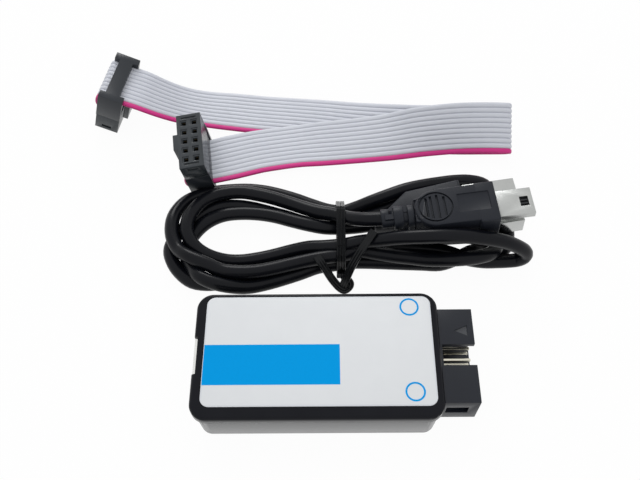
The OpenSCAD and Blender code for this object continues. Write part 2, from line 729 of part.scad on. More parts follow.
// The end of the ribbon in its socket: over the cover, round one side and under it
module ribbon_wrap(side) {
    low = idc_h + ribbon_t / 2;
    high = idc_top_ribbon + ribbon_t / 2;
    r = (high - low) / 2;
    fold_x = idc_w / 2 + 0.2;
    mirror([side < 0 ? 0 : 1, 0, 0]) rotate([90, 0, 0]) linear_extrude(ribbon_w, center = true) {
        for (z = [low, high]) translate([-fold_x, z - ribbon_t / 2])
            square([z == low ? fold_x + idc_w / 2 - 0.4 : fold_x + idc_w / 2 + 0.4, ribbon_t]);
        translate([-fold_x, (low + high) / 2]) difference() {
            circle(r = r + ribbon_t / 2);
            circle(r = r - ribbon_t / 2);
            translate([0, -10]) square([20, 20]);
        }
    }
}

module at_socket_a()
    translate(socket_a_at) rotate(socket_a_turn) translate([-idc_w / 2, 0, 0]) children();
module at_socket_b()
    translate(socket_b_at) rotate(socket_b_turn) translate([0, 0, idc_height])
        rotate([0, 180, 0]) children();

module ribbon_cable() color(ribbon_grey) {
    ribbon_free();
    at_socket_a() ribbon_wrap(-1);
    at_socket_b() ribbon_wrap(1);
}

// ---- Ribbon sockets, each with its mating face at zero ----
module each_hole()
    for (i = [0 : pins_n - 1], s = [-1, 1])
        translate([s * pitch / 2, (i - (pins_n - 1) / 2) * pitch, 0]) children();

module idc_body() color(grey_black) {
    key_w = 4.2;
    key_out = 1.1;
    difference() {
        union() {
            block([idc_w, idc_l, idc_arm_z], [0, 0, 0]);
            block([idc_w, idc_inner_l - 2 * idc_arm_gap, idc_h], [0, 0, 0]);
            block([key_out + 1, key_w, idc_arm_z + 0.6], [idc_w / 2 + key_out / 2 - 0.5, 0, 0]);
        }
        each_hole() {
            block([hole_a, hole_a, hole_deep + 1], [0, 0, -1]);
            block([hole_a + 0.5, hole_a + 0.5, 1], [0, 0, -0.7]);
        }
        // Slots in the two end faces, and lines beside the holes
        for (s = [-1, 1]) {
            block([2.4, 1.2, 0.9], [0, s * idc_l / 2, 0.9]);
            block([3.6, 0.5, 1.4], [0, s * (idc_l / 2 - 1), -1]);
        }
    }
}

module idc_cover() color(grey_black)
    block([idc_w - 0.3, idc_inner_l - 2 * idc_arm_gap, idc_cover_h], [0, 0, idc_cover_z]);

module idc_strain_relief() color(black_plastic) {
    arm_w = idc_w + 0.2;
    block_l = 1.9;
    block([strap_w, idc_l, strap_t], [0, 0, idc_strap_z]);
    for (s = [-1, 1]) {
        block([arm_w, arm_t, idc_strap_z - idc_arm_z],
              [0, s * (idc_l - arm_t) / 2, idc_arm_z]);
        block([arm_w, block_l, strap_t], [0, s * (idc_l - block_l) / 2, idc_strap_z]);
    }
}

module idc_contacts() color(gold) each_hole()
    for (s = [-1, 1]) block([0.7, 0.15, hole_deep - 0.8], [0, s * (hole_a - 0.15) / 2, 0.8]);

module socket_a_body() at_socket_a() idc_body();
module socket_a_cover() at_socket_a() idc_cover();
module socket_a_strain_relief() at_socket_a() idc_strain_relief();
module socket_a_contacts() at_socket_a() idc_contacts();
module socket_b_body() at_socket_b() idc_body();
module socket_b_cover() at_socket_b() idc_cover();
module socket_b_strain_relief() at_socket_b() idc_strain_relief();
module socket_b_contacts() at_socket_b() idc_contacts();

bottom_shell();
top_shell();
label_plate();
circuit_board();
usb_receptacle_shell();
usb_receptacle_tongue();
usb_receptacle_contacts();
header_shroud();
header_pins();
microcontroller_chip();
microcontroller_leads();
crystal_can();
voltage_regulator();
power_led();
activity_led();
chip_resistors();
chip_capacitors();
lead_hank();
mini_plug_tail();
usb_a_tail();
twist_tie();
mini_plug_overmold();
mini_plug_shell();
mini_plug_insert();
mini_plug_contacts();
usb_a_overmold();
usb_a_shell();
usb_a_tongue();
usb_a_contacts();
ribbon_cable();
socket_a_body();
socket_a_cover();
socket_a_strain_relief();
socket_a_contacts();
socket_b_body();
socket_b_cover();
socket_b_strain_relief();
socket_b_contacts();
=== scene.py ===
"""Looks of a small USB programmer with its tied USB lead and its ribbon, for Blender 4.5."""

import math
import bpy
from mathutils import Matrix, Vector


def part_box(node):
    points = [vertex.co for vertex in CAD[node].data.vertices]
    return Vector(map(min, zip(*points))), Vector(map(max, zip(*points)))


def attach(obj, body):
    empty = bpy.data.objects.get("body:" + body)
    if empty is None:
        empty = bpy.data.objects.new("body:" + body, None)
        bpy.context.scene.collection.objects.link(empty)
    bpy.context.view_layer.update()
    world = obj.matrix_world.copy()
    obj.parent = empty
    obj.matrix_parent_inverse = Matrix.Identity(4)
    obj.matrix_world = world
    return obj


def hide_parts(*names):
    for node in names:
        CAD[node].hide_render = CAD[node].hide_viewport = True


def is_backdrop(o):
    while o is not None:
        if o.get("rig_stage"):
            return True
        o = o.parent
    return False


bl_info = {
    "name": "USB Programmer Set",
    "version": (1, 0, 0),
    "blender": (4, 5, 0),
    "location": "View3D > Sidebar > Programmer",
    "description": "Dresses the packed model of a USB programmer, its lead and its ribbon",
    "category": "Object",
}

import bpy
from bpy.props import FloatProperty, FloatVectorProperty, PointerProperty
from mathutils import Matrix, Vector
from mathutils.bvhtree import BVHTree

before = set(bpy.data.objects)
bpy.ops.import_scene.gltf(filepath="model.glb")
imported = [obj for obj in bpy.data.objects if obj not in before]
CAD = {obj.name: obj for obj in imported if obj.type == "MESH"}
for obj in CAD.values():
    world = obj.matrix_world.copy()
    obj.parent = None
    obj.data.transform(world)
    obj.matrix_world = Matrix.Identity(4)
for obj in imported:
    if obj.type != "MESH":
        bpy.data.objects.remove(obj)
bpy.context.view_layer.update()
MM = 0.001

# ---- Image points, in the 640 x 480 frame of the photograph ----
WIDTH, HEIGHT = 640, 480
POINTS = {
    "left": (188.6, None),
    "right": (481.9, None),
    "top": (None, 293.4),
    "bottom": (None, 434.2),
    "label_near_left": (200.9, 404.9),
    "label_near_right": (437.0, 402.9),
    "label_far_left": (209.6, 299.0),
    "label_far_right": (427.3, 297.4),
    "header_near_corner": (481.7, 402.1),
    "header_far_corner": (471.2, 308.4),
    "far_ring": (409.0, 306.9),
    "near_ring": (415.7, 391.6),
    "band": (271.4, 364.4),
    "mini_shell_far": (531.0, 188.0),
    "mini_shell_near": (534.7, 213.0),
    "large_shell_far": (513.0, 176.3),
    "socket_far_left": (176.8, 117.0),
    "ribbon_far_right": (512.0, 103.5),
    "ribbon_near_right": (512.0, 150.8),
}

# ---- Camera, fitted to the corners above ----
CAMERA_AT = Vector((1.7, -59.4, 154.9)) * MM
CAMERA_DOWN = math.radians(58.83)
CAMERA_YAW = math.radians(-0.66)
CAMERA_ROLL = math.radians(-0.98)
CAMERA_LENS = 42.525
SENSOR = 36.0
FOCAL_PIXELS = WIDTH * CAMERA_LENS / SENSOR


def camera_axes():
    """The camera's right, up and backward axes."""
    look = Vector((math.cos(CAMERA_DOWN) * math.sin(CAMERA_YAW),
                   math.cos(CAMERA_DOWN) * math.cos(CAMERA_YAW),
                   -math.sin(CAMERA_DOWN)))
    level = Vector((math.cos(CAMERA_YAW), -math.sin(CAMERA_YAW), 0))
    rise = level.cross(look)
    c, s = math.cos(CAMERA_ROLL), math.sin(CAMERA_ROLL)
    return level * c + rise * s, rise * c - level * s, -look


# Strength of the white world as a light
AMBIENT = 0.4

# ---- Sizes in metres that follow the CAD model ----
LEAD_D = 3.3 * MM
RIBBON_W = 12.6 * MM
RIBBON_T = 0.9 * MM
WIRES = 10

# Colours that several pieces share
GOLD = (0.90, 0.72, 0.40)
SHELL_STEEL = (0.47, 0.48, 0.47)

# The header's pitch in metres, the thickness of printed ink in millimetres, and the angle in
# degrees past which an edge stays sharp
PITCH = 2.54 * MM
FILM = 0.02
SHARP = 32

# Route of the USB lead's middle in millimetres, from the mini plug to the large plug
LEAD_ROUTE = [
    (15.6, 33.2, 11), (13.9, 33.2, 10.8), (10.5, 33.8, 9.8), (7.4, 35.3, 8), (3.8, 37.4, 6.4),
    (0.2, 38.9, 5.3), (-3.3, 40.7, 4.4), (-6.7, 42.3, 4), (-10.4, 43.7, 4), (-14.4, 44.8, 4.1),
    (-18.4, 45.6, 4), (-22.5, 45.3, 3.9), (-26.1, 43.9, 4), (-28.6, 41.3, 4.6), (-30.3, 37.7, 5),
    (-30.5, 33.9, 5), (-28.7, 30.5, 4.3), (-25.7, 28.5, 3.3), (-21.9, 27.6, 2.3),
    (-18.2, 27.6, 1.7), (-14.3, 28.1, 1.7), (-10.3, 28.9, 1.9), (-6, 29.8, 2.5), (-2, 30, 3.7),
    (1.8, 29.5, 4.8), (6, 29.4, 5.7), (10.2, 29.5, 7), (14.1, 28.7, 9), (17.7, 28, 11),
    (21.3, 27.3, 12.6), (25.2, 26.9, 13.5), (29.1, 26.8, 13.7), (33.2, 26.9, 13.3),
    (37.7, 26.9, 12.3), (41.8, 27, 10.7), (44.8, 27, 8.8), (46.8, 27, 6.9), (47.6, 27, 5.2),
    (47.2, 26.8, 3.9), (46.1, 26.9, 2.7), (44.3, 26.9, 2.3), (41.9, 26.9, 2.1), (38.3, 26.8, 2.3),
    (34.6, 27.9, 1.7), (30.7, 29.6, 1.7), (26.8, 30.5, 1.7), (22.7, 30.9, 1.7), (18.7, 31, 1.7),
    (14.5, 30.8, 1.7), (10.4, 30.4, 1.7), (6.4, 29.8, 1.7), (2.3, 29, 1.6), (-1.7, 27.8, 1.6),
    (-5.6, 26.7, 1.6), (-9.4, 25.7, 1.6), (-13.2, 24.7, 1.6), (-16.9, 23.5, 1.6),
    (-20.5, 22.4, 1.6), (-24.4, 21.7, 1.6), (-28.6, 22.3, 1.6), (-31.8, 24.8, 1.7),
    (-33.9, 28, 1.8), (-34.6, 31.4, 1.6), (-33.2, 35.2, 1.7), (-30.5, 38.2, 1.6),
    (-27.2, 41.1, 1.6), (-23.4, 42.7, 1.7), (-19.4, 43, 1.7), (-15.6, 42.4, 1.6),
    (-11.7, 41.2, 1.7), (-7.6, 39.9, 1.6), (-3.6, 38.4, 1.6), (0.3, 37.4, 1.6), (4, 37.4, 1.6),
    (7.8, 38.3, 1.6), (11.6, 39.4, 1.6), (15.1, 41.2, 1.6), (18.4, 43.3, 1.6), (21.6, 45.4, 1.6),
    (24.9, 47.2, 1.6), (28.6, 48.3, 1.6), (32.5, 48.6, 1.7), (36, 47.4, 1.6), (39.1, 45.2, 1.7),
    (41.1, 42, 1.8), (41.4, 38, 1.7), (41.4, 33.8, 2), (41.8, 30.7, 4), (39.9, 27.3, 5.4),
    (36.6, 25.6, 6.5), (32.9, 24.9, 6.9), (28.9, 25.1, 6.2), (25.1, 25.8, 5.1), (21.3, 26.5, 4.8),
    (17.5, 27, 4.8), (13.6, 27.7, 4.8), (9.6, 28.3, 4.9), (5.7, 27.4, 4.6), (1.7, 26.7, 4.9),
    (-2.3, 26, 4.7), (-6.2, 25, 4.7), (-9.8, 24.1, 4.6), (-13.7, 23.3, 4.6), (-17.7, 23, 4.8),
    (-21.7, 23.5, 4.9), (-25.5, 24.9, 5.8), (-29.3, 26.7, 5.9), (-32, 29.1, 4.8),
    (-33.8, 32.7, 4.8), (-34.2, 37, 4.7), (-33.3, 40.8, 3.8), (-31.3, 44.1, 2.8),
    (-27.9, 46.3, 2.1), (-24.2, 47.4, 1.7), (-20.3, 47.8, 1.6), (-16.4, 47.8, 1.6),
    (-12.4, 47.2, 1.6), (-8.6, 46.1, 1.6), (-4.8, 44.7, 1.6), (-1.2, 43.1, 1.7), (2.5, 41.7, 1.7),
    (6.2, 41.3, 1.6), (9.7, 42, 2.4), (13.2, 42.8, 3.7), (17.1, 43.9, 4.6), (21.1, 45.3, 4.9),
    (25.1, 46.4, 4.8), (29.1, 47.2, 4.7), (33.1, 47.7, 4.8), (37, 47.8, 4.7), (40.7, 47.6, 3.4),
    (43.3, 45, 2), (44.9, 41.2, 1.7), (45.2, 37.1, 1.7), (44.9, 33.2, 1.7), (43.4, 30.1, 1.6),
    (39.3, 29.1, 2.6), (35.9, 28.3, 4.5), (32, 26.7, 3.9), (28.3, 26.1, 2.4), (24.3, 26.6, 1.7),
    (20.4, 26.8, 1.6), (16.4, 27, 1.6), (12.3, 27.2, 1.6), (8.1, 27.2, 1.7), (4, 26.6, 1.7),
    (0, 25.9, 1.7), (-4, 24.3, 1.7), (-7.9, 22.9, 1.7), (-11.9, 21.6, 1.8), (-15.7, 20.5, 2.4),
    (-19.5, 20, 3.7), (-23.2, 20.4, 4.7), (-26.6, 22.1, 4.7), (-28.6, 25.1, 3.1),
    (-30.4, 28.3, 1.8), (-30.6, 32.1, 1.6), (-28.9, 35.4, 2.1), (-26, 37.8, 3), (-22.4, 39.2, 3.6),
    (-18.2, 39.6, 3.8), (-13.8, 39.3, 3.9), (-9.8, 38.4, 4.1), (-5.9, 37.1, 4.2), (-2, 35.9, 4.3),
    (1.9, 35.3, 3.9), (5.9, 35.5, 3.5), (9.8, 35.9, 3.3), (13.4, 36.4, 3.4)]

# The tie: its place along X, its twist as (y, z), and its two ends, in millimetres
TIE_X = 5.5 * MM
TWIST_AT = (22.8 * MM, 2.8 * MM)
TAIL_WIDTH = 1.9 * MM
TAIL_FACE = Vector((0, -0.5, 0.86))
TIE_LEFT = [(0, 25.3, 7.9), (0.9, 23.9, 7.5), (2, 23, 5.6), (3.3, 22, 3.2), (4.9, 20.8, 1.5),
            (6.1, 20.3, 1), (7.1, 20.9, 1), (7.5, 21.8, 1.2), (6.8, 22.5, 2.1), (6, 22.7, 3.2)]
TIE_RIGHT = [(5.9, 21.1, 1.6), (6.5, 21.8, 3.4), (7.8, 23.5, 6.4), (9.2, 25.2, 8.4),
             (10.5, 26.8, 9.8), (12.8, 29.9, 11)]

# Route of the ribbon's middle between its two folded ends, in millimetres, with the tilt and
# the turn of its width in degrees
RIBBON_ROUTE = [
    (-44.2, 73.3, 9.7, 0, 9), (-39.4, 73.4, 6.4, -1, 4),
    (-34.6, 73.8, 3.5, -2, 0), (-29, 74, 1.7, -2, -3), (-22, 73.6, 1.0, 0, -3),
    (-15, 72.7, 0.9, 0, -2), (-7, 71.8, 0.9, 1, -1), (0.7, 70.7, 1.1, 3, 0),
    (9, 69, 1.6, 7, 1), (17, 67.3, 2.4, 12, 1), (26, 65.4, 3.4, 21, 0),
    (34.3, 64.3, 4.2, 29, 0), (42.7, 64.1, 4.4, 33, 0), (47.2, 64.1, 4.4, 34, 0),
    (48.3, 63.9, 4.8, 34, 0), (48.7, 63.3, 5.6, 34, 0), (48.3, 62.7, 6.5, 34, 0),
    (47.2, 62.5, 6.9, 34, 0), (43, 62.4, 7.2, 34, 0), (38, 62.2, 7.4, 36, 0),
    (33, 62, 7.3, 36, 0), (26, 62, 6.3, 30, 0), (21, 61.9, 5.2, 22, 0),
    (16, 61.8, 4.2, 15, 0), (8, 61.4, 3.5, 11, 0), (0.7, 61, 3.1, 9, 0),
    (-4.4, 60.8, 2.6, 5, 0), (-10, 60.1, 2.4, 4, -2), (-15, 58.9, 2.8, 4, -4),
    (-19.7, 57.2, 3.4, 5, -6), (-23.2, 55.9, 3.8, 6, -7.5),
]


def turned(x, y, z):
    """The matrix that turns about X, then Y, then Z, by degrees."""
    return (Matrix.Rotation(math.radians(z), 4, "Z") @ Matrix.Rotation(math.radians(y), 4, "Y")
            @ Matrix.Rotation(math.radians(x), 4, "X"))


def moved(x, y, z):
    return Matrix.Translation(Vector((x, y, z)) * MM)


# Places of the plugs and of the ribbon's sockets, as in the CAD model
MINI_PLACE = moved(48.2, 35.1, 13.9) @ turned(0, -5, 4.5)
LARGE_PLACE = moved(47.3, 40, 6.4) @ turned(0, -5, 6)
SOCKET_W = 5.9
SOCKET_H = 13.1
SOCKET_A_PLACE = moved(-51, 74.5, 0.4) @ turned(0, 19, -11) @ moved(-SOCKET_W / 2, 0, 0)
SOCKET_B_PLACE = (moved(-28.9, 55.2, 1.2) @ turned(6, -6, 7) @ moved(0, 0, SOCKET_H)
                  @ turned(0, 180, 0))
WRAP_LOW, WRAP_HIGH = 7.25, 11.05


# ---- Shader maths ----
def maths(operation):
    """A method that adds a maths node."""
    def method(self, *others):
        return self.maker.add("ShaderNodeMath", {"operation": operation}, self, *others)
    return method


class Value:
    """A socket that takes part in plain arithmetic."""

    def __init__(self, maker, socket):
        self.maker, self.socket = maker, socket

    __add__, __sub__, __mul__ = maths("ADD"), maths("SUBTRACT"), maths("MULTIPLY")
    __abs__, __mod__ = maths("ABSOLUTE"), maths("FLOORED_MODULO")
    over, under, highest = maths("GREATER_THAN"), maths("LESS_THAN"), maths("MAXIMUM")


class Finish:
    """A material under construction, with one method that adds any node."""

    def __init__(self, name):
        self.material = bpy.data.materials.new(name)
        self.material.use_nodes = True
        self.tree = self.material.node_tree
        self.shader = self.tree.nodes["Principled BSDF"]

    def plug(self, socket, value):
        """Links a value to a socket, or writes a plain one there. A colour gets its alpha."""
        if isinstance(value, Value):
            self.tree.links.new(value.socket, socket)
        else:
            socket.default_value = (*value, 1) if socket.type == "RGBA" else value

    def add(self, kind, settings=None, *values, out=0, **named):
        node = self.tree.nodes.new(kind)
        for key, setting in (settings or {}).items():
            setattr(node, key, setting)
        for key, value in [*enumerate(values), *named.items()]:
            self.plug(node.inputs[key if isinstance(key, int) else key.replace("_", " ")], value)
        return Value(self, node.outputs[out])

    def place(self):
        """Object coordinates, in metres."""
        return self.add("ShaderNodeTexCoord", None, out="Object")

    def split(self, vector):
        node = self.tree.nodes.new("ShaderNodeSeparateXYZ")
        self.plug(node.inputs[0], vector)
        return [Value(self, o) for o in node.outputs]

    def noise(self, size, detail=3.0, roughness=0.55, vector=None):
        """Noise between 0 and 1 with features of about that size in metres."""
        return self.add("ShaderNodeTexNoise", None, Vector=vector or self.place(),
                        Scale=1 / size, Detail=detail, Roughness=roughness)

    def blend(self, mask, low, high):
        """The first colour where the mask is 0, and the second where it is 1."""
        node = self.tree.nodes.new("ShaderNodeMix")
        node.data_type = "RGBA"
        # Sockets 6 and 7 take the colours, and output 2 gives their mix
        for index, value in ((0, mask), (6, low), (7, high)):
            self.plug(node.inputs[index], value)
        return Value(self, node.outputs[2])

    def bump(self, height, depth):
        """Raises the surface by the height times the depth in metres."""
        self.set(Normal=self.add("ShaderNodeBump", None, Height=height, Distance=depth,
                                 Strength=1.0))

    def set(self, **values):
        for key, value in values.items():
            self.plug(self.shader.inputs[key.replace("_", " ")], value)


def moulded(name, colour, roughness, grain=0.35 * MM, depth=0.006 * MM, spread=0.08, sheen=0.3):
    """Moulded plastic with a fine grain and a slightly uneven sheen."""
    finish = Finish(name)
    cloud = finish.noise(6 * MM, 2.0)
    light = tuple(min(1.0, c * 1.25 + 0.002) for c in colour)
    finish.set(Base_Color=finish.blend(cloud, colour, light),
               Roughness=cloud * (2 * spread) + (roughness - spread), Specular_IOR_Level=sheen)
    finish.bump(finish.noise(grain, 2.0), depth)
    return finish.material


def metal(name, colour, roughness, streak=(1, 1, 1), grain=0.25 * MM, depth=0.002 * MM):
    """Plated metal with fine marks."""
    finish = Finish(name)
    spot = finish.add("ShaderNodeMapping", None, Vector=finish.place(), Scale=streak)
    marks = finish.noise(grain, 3.0, 0.6, spot)
    stain = finish.noise(2.5 * MM, 2.0)
    dark = tuple(c * 0.86 for c in colour)
    finish.set(Base_Color=finish.blend(stain, dark, colour), Metallic=1.0,
               Roughness=marks * 0.16 + (roughness - 0.08))
    finish.bump(marks, depth)
    return finish.material


def grip_finish(name):
    """The soft black plastic of both plugs' grips."""
    return moulded(name, (0.0095, 0.0112, 0.0158), 0.42, 0.28 * MM, 0.012 * MM, sheen=0.2)


def label_finish():
    """Pale label film with a faint fibre and a duller cut edge."""
    finish = Finish("label_film")
    low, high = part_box("label_plate")
    rim_width = 0.35 * MM
    edges = [(abs(way - (a + b) / 2) - (b - a) / 2 + rim_width).over(0)
             for way, a, b in zip(finish.split(finish.place())[:2], low, high)]
    rim = edges[0].highest(edges[1])
    cloud = finish.noise(4 * MM, 2.0)
    pale = finish.blend(cloud, (0.705, 0.725, 0.745), (0.74, 0.76, 0.78))
    finish.set(Base_Color=finish.blend(rim * 0.5, pale, (0.62, 0.65, 0.70)),
               Roughness=cloud * 0.1 + 0.36, Specular_IOR_Level=0.25)
    finish.bump(finish.noise(0.3 * MM), 0.003 * MM)
    return finish.material


def ink_finish(name, colour):
    """Printed ink with a slight mottle."""
    finish = Finish(name)
    mottle = finish.noise(0.5 * MM, 3.0)
    deep = tuple(c * 0.93 for c in colour)
    finish.set(Base_Color=finish.blend(mottle, deep, colour), Roughness=mottle * 0.1 + 0.5,
               Specular_IOR_Level=0.05)
    return finish.material


def header_finish():
    """Matt black plastic, paler where the triangle is engraved in the top."""
    finish = Finish("header_black")
    x, y, z = finish.split(finish.place())
    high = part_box("header_shroud")[1]
    # The floor of the engraving, and the patch of the top that holds it
    sunk = z.over(high.z - 0.45 * MM) * z.under(high.z - 0.2 * MM)
    near = abs(y - 5.3 * MM).under(1.3 * MM) * x.over(high.x - 4.1 * MM)
    cloud = finish.noise(5 * MM, 3.0)
    black = finish.blend(cloud, (0.0015, 0.003, 0.0075), (0.0035, 0.0055, 0.0105))
    finish.set(Base_Color=finish.blend(sunk * near, black, (0.045, 0.048, 0.055)),
               Roughness=cloud * 0.12 + 0.34, Specular_IOR_Level=0.38)
    finish.bump(finish.noise(0.3 * MM, 2.0), 0.008 * MM)
    return finish.material


def board_finish():
    """Green solder mask with paler tracks and tinned pads near the header."""
    finish = Finish("board_green")
    x, y = finish.split(finish.place())[:2]
    maze = finish.add("ShaderNodeTexBrick", {"offset": 0.5, "squash": 1.0},
                      Vector=finish.place(), Scale=1 / (8 * MM), Mortar_Size=0.03, out="Fac")
    track_width, pad_length, pad_width = 0.3 * MM, 2.65 * MM, 1.5 * MM
    track = ((x + y * 0.35) % (PITCH / 2)).under(track_width) * maze
    green = finish.blend(track, (0.010, 0.105, 0.052), (0.018, 0.17, 0.08))
    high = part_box("circuit_board")[1]
    pads = (x.over(high.x - pad_length)
            * ((y + PITCH / 2 + pad_width / 2) % PITCH).under(pad_width))
    finish.set(Base_Color=finish.blend(pads, green, (0.62, 0.62, 0.58)),
               Metallic=pads * 0.9, Roughness=0.34)
    finish.bump(track, 0.02 * MM)
    return finish.material


def chip_finish(name, colour):
    """Moulded epoxy with a fine sparkle."""
    finish = Finish(name)
    grain = finish.noise(0.12 * MM, 3.0)
    finish.set(Base_Color=finish.blend(grain, colour, tuple(c * 1.7 for c in colour)),
               Roughness=grain * 0.15 + 0.45)
    finish.bump(grain, 0.004 * MM)
    return finish.material


def lens_finish():
    finish = Finish("lens_clear")
    cloud = finish.noise(0.6 * MM)
    finish.set(Base_Color=finish.blend(cloud, (0.66, 0.74, 0.62), (0.80, 0.86, 0.76)),
               Roughness=cloud * 0.1 + 0.1)
    return finish.material


def lead_finish():
    """Smooth black PVC with a soft sheen and slight handling marks."""
    finish = Finish("cable_black")
    smear = finish.noise(9 * MM, 2.0)
    finish.set(Base_Color=finish.blend(smear, (0.0025, 0.003, 0.0045), (0.0045, 0.005, 0.0075)),
               Roughness=smear * 0.1 + 0.24, Specular_IOR_Level=0.15)
    finish.bump(finish.noise(0.8 * MM, 2.0), 0.006 * MM)
    return finish.material


def ribbon_finish():
    """Grey ribbon whose first wire is pink, with painted shade darkening the creases between the
    wires.
    """
    finish = Finish("ribbon_grey")
    across = finish.split(finish.add("ShaderNodeUVMap", {"uv_map": "wires"}))[0]
    wire = across * WIRES
    # Painted shade in the creases between the wires: it rises to 0.7 at each crease and is 0 on the
    # crowns
    crease_shade = (abs((wire % 1.0) - 0.5) - 0.36).highest(0) * 5.0
    pink = wire.under(1.0)
    cloud = finish.noise(5 * MM, 2.0)
    grey = finish.blend(cloud, (0.59, 0.61, 0.67), (0.65, 0.67, 0.73))
    body = finish.blend(pink, grey, (0.62, 0.035, 0.23))
    # Darker copies of the grey and of the pink, which are the painted shade in the creases
    dark = finish.blend(pink, (0.40, 0.415, 0.48), (0.36, 0.015, 0.12))
    finish.set(Base_Color=finish.blend(crease_shade, body, dark), Roughness=cloud * 0.1 + 0.42,
               Specular_IOR_Level=0.3)
    finish.bump(finish.noise(0.5 * MM), 0.004 * MM)
    return finish.material


# ---- Modelling tools ----
def deselect():
    bpy.ops.object.select_all(action="DESELECT")


def only(obj):
    deselect()
    obj.select_set(True)
    bpy.context.view_layer.objects.active = obj
    return obj


def newest(name):
    obj = bpy.context.view_layer.objects.active
    obj.name = obj.data.name = name
    return obj


def linked(name, data):
    """A new object of the scene that holds the data."""
    obj = bpy.data.objects.new(name, data)
    bpy.context.scene.collection.objects.link(obj)
    return obj


def apply_modifier(obj, kind, **settings):
    only(obj)
    modifier = obj.modifiers.new(kind.title(), kind)
    for key, value in settings.items():
        setattr(modifier, key, value)
    bpy.ops.object.modifier_apply(modifier=modifier.name)
    return obj


def box_piece(name, size, at):
    """A box in millimetres, centred on the given point, with its place in its mesh."""
    deselect()
    bpy.ops.mesh.primitive_cube_add(size=1, location=Vector(at) * MM)
    obj = newest(name)
    obj.scale = Vector(size) * MM
    bpy.ops.object.transform_apply(location=True, rotation=True, scale=True)
    return obj


def rod_piece(name, radius, length, at, axis="Z", sides=48):
    """A rod in millimetres, centred on the given point."""
    deselect()
    turn = {"Z": (0, 0, 0), "X": (0, math.pi / 2, 0)}[axis]
    bpy.ops.mesh.primitive_cone_add(
        vertices=sides, radius1=radius * MM, radius2=radius * MM, depth=length * MM,
        location=Vector(at) * MM, rotation=turn)
    obj = newest(name)
    bpy.ops.object.transform_apply(location=True, rotation=True, scale=True)
    return obj


def draw_back(obj, length, wide, high):
    """Extrudes the piece's back face along -X, and scales the new face."""
    only(obj)
    bpy.ops.object.mode_set(mode="EDIT")
    bpy.ops.mesh.select_all(action="DESELECT")
    bpy.ops.object.mode_set(mode="OBJECT")
    back = min(p.center.x for p in obj.data.polygons)
    for polygon in obj.data.polygons:
        polygon.select = polygon.center.x < back + 0.01 * MM
    bpy.ops.object.mode_set(mode="EDIT")
    bpy.ops.mesh.select_mode(type="FACE")
    bpy.ops.mesh.extrude_region_move(TRANSFORM_OT_translate={"value": (-length * MM, 0, 0)})
    bpy.ops.transform.resize(value=(1, wide, high), center_override=(0, 0, 0))
    bpy.ops.object.mode_set(mode="OBJECT")


def combine(obj, other, operation):
    apply_modifier(obj, "BOOLEAN", object=other, operation=operation, solver="EXACT")
    bpy.data.objects.remove(other)
    return obj


def bevelled(obj, width, segments=2, angle=SHARP):
    return apply_modifier(obj, "BEVEL", width=width * MM, segments=segments,
                          limit_method="ANGLE", angle_limit=math.radians(angle))


def smooth(obj, angle=SHARP):
    only(obj)
    bpy.ops.object.shade_smooth_by_angle(angle=math.radians(angle))
    return obj


def settle(obj, place):
    """Moves a piece's mesh to its place, and leaves its object at the origin."""
    obj.data.transform(place)
    obj.data.update()
    return obj


def dress(obj, material, body, slot, *nodes):
    obj.data.materials.clear()
    obj.data.materials.append(material)
    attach(obj, body)
    if nodes:
        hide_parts(*nodes)
    return obj


def softened(node, width, segments=2):
    """A copy of a CAD node with its sharp edges rounded."""
    deselect()
    obj = CAD[node].copy()
    obj.data = CAD[node].data.copy()
    for key in [k for k in obj.keys() if k.startswith("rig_")]:
        del obj[key]
    obj.parent = None
    obj.name = obj.data.name = node + "_finished"
    bpy.context.scene.collection.objects.link(obj)
    only(obj)
    bpy.ops.object.mode_set(mode="EDIT")
    bpy.ops.mesh.select_all(action="SELECT")
    bpy.ops.mesh.remove_doubles(threshold=0.002 * MM)
    bpy.ops.mesh.dissolve_limited(angle_limit=math.radians(1.5))
    bpy.ops.object.mode_set(mode="OBJECT")
    bevelled(obj, width, segments)
    return smooth(obj)


def refine(node, width, material, slot, body="base", segments=2):
    """Shows a rounded copy of a CAD node in that node's place."""
    return dress(softened(node, width, segments), material, body, slot, node)


def repaint(node, material):
    CAD[node].data.materials.clear()
    CAD[node].data.materials.append(material)
    return smooth(CAD[node])


def curve_through(points, steps):
    """Points on a smooth curve through the given ones."""
    ends = [points[0] * 2 - points[1], *points, points[-1] * 2 - points[-2]]
    found = []
    for a, b, c, d in zip(ends, ends[1:], ends[2:], ends[3:]):
        for k in range(steps):
            t = k / steps
            found.append((b * 2 + (c - a) * t + (a * 2 - b * 5 + c * 4 - d) * t * t
                          + (b * 3 - a - c * 3 + d) * t ** 3) / 2)
    return found + [points[-1]]


def cord_piece(name, points, diameter):
    """A round cord along the points, as a curve with its ends closed."""
    curve = bpy.data.curves.new(name, "CURVE")
    curve.dimensions = "3D"
    curve.bevel_depth = diameter / 2
    curve.bevel_resolution = 5
    curve.use_fill_caps = True
    spline = curve.splines.new("POLY")
    spline.points.add(len(points) - 1)
    spline.use_smooth = True
    for place, point in zip(spline.points, points):
        place.co = (*point, 1)
    return linked(name, curve)


def swept(name, stations, profile, closed=False):
    """A mesh that carries a closed profile along stations of (point, width way, face way)."""
    ring, count = len(profile), len(stations)
    vertices = [p + w * x + n * h for p, w, n in stations for x, h in profile]
    faces = [(s * ring + k, s * ring + (k + 1) % ring,
              (s + 1) % count * ring + (k + 1) % ring, (s + 1) % count * ring + k)
             for s in range(count if closed else count - 1) for k in range(ring)]
    if not closed:
        faces += [tuple(range(ring))[::-1], tuple(range((count - 1) * ring, count * ring))]
    mesh = bpy.data.meshes.new(name)
    mesh.from_pydata(vertices, [], faces)
    obj = only(linked(name, mesh))
    bpy.ops.object.mode_set(mode="EDIT")
    bpy.ops.mesh.select_all(action="SELECT")
    bpy.ops.mesh.normals_make_consistent(inside=False)
    bpy.ops.object.mode_set(mode="OBJECT")
    return obj


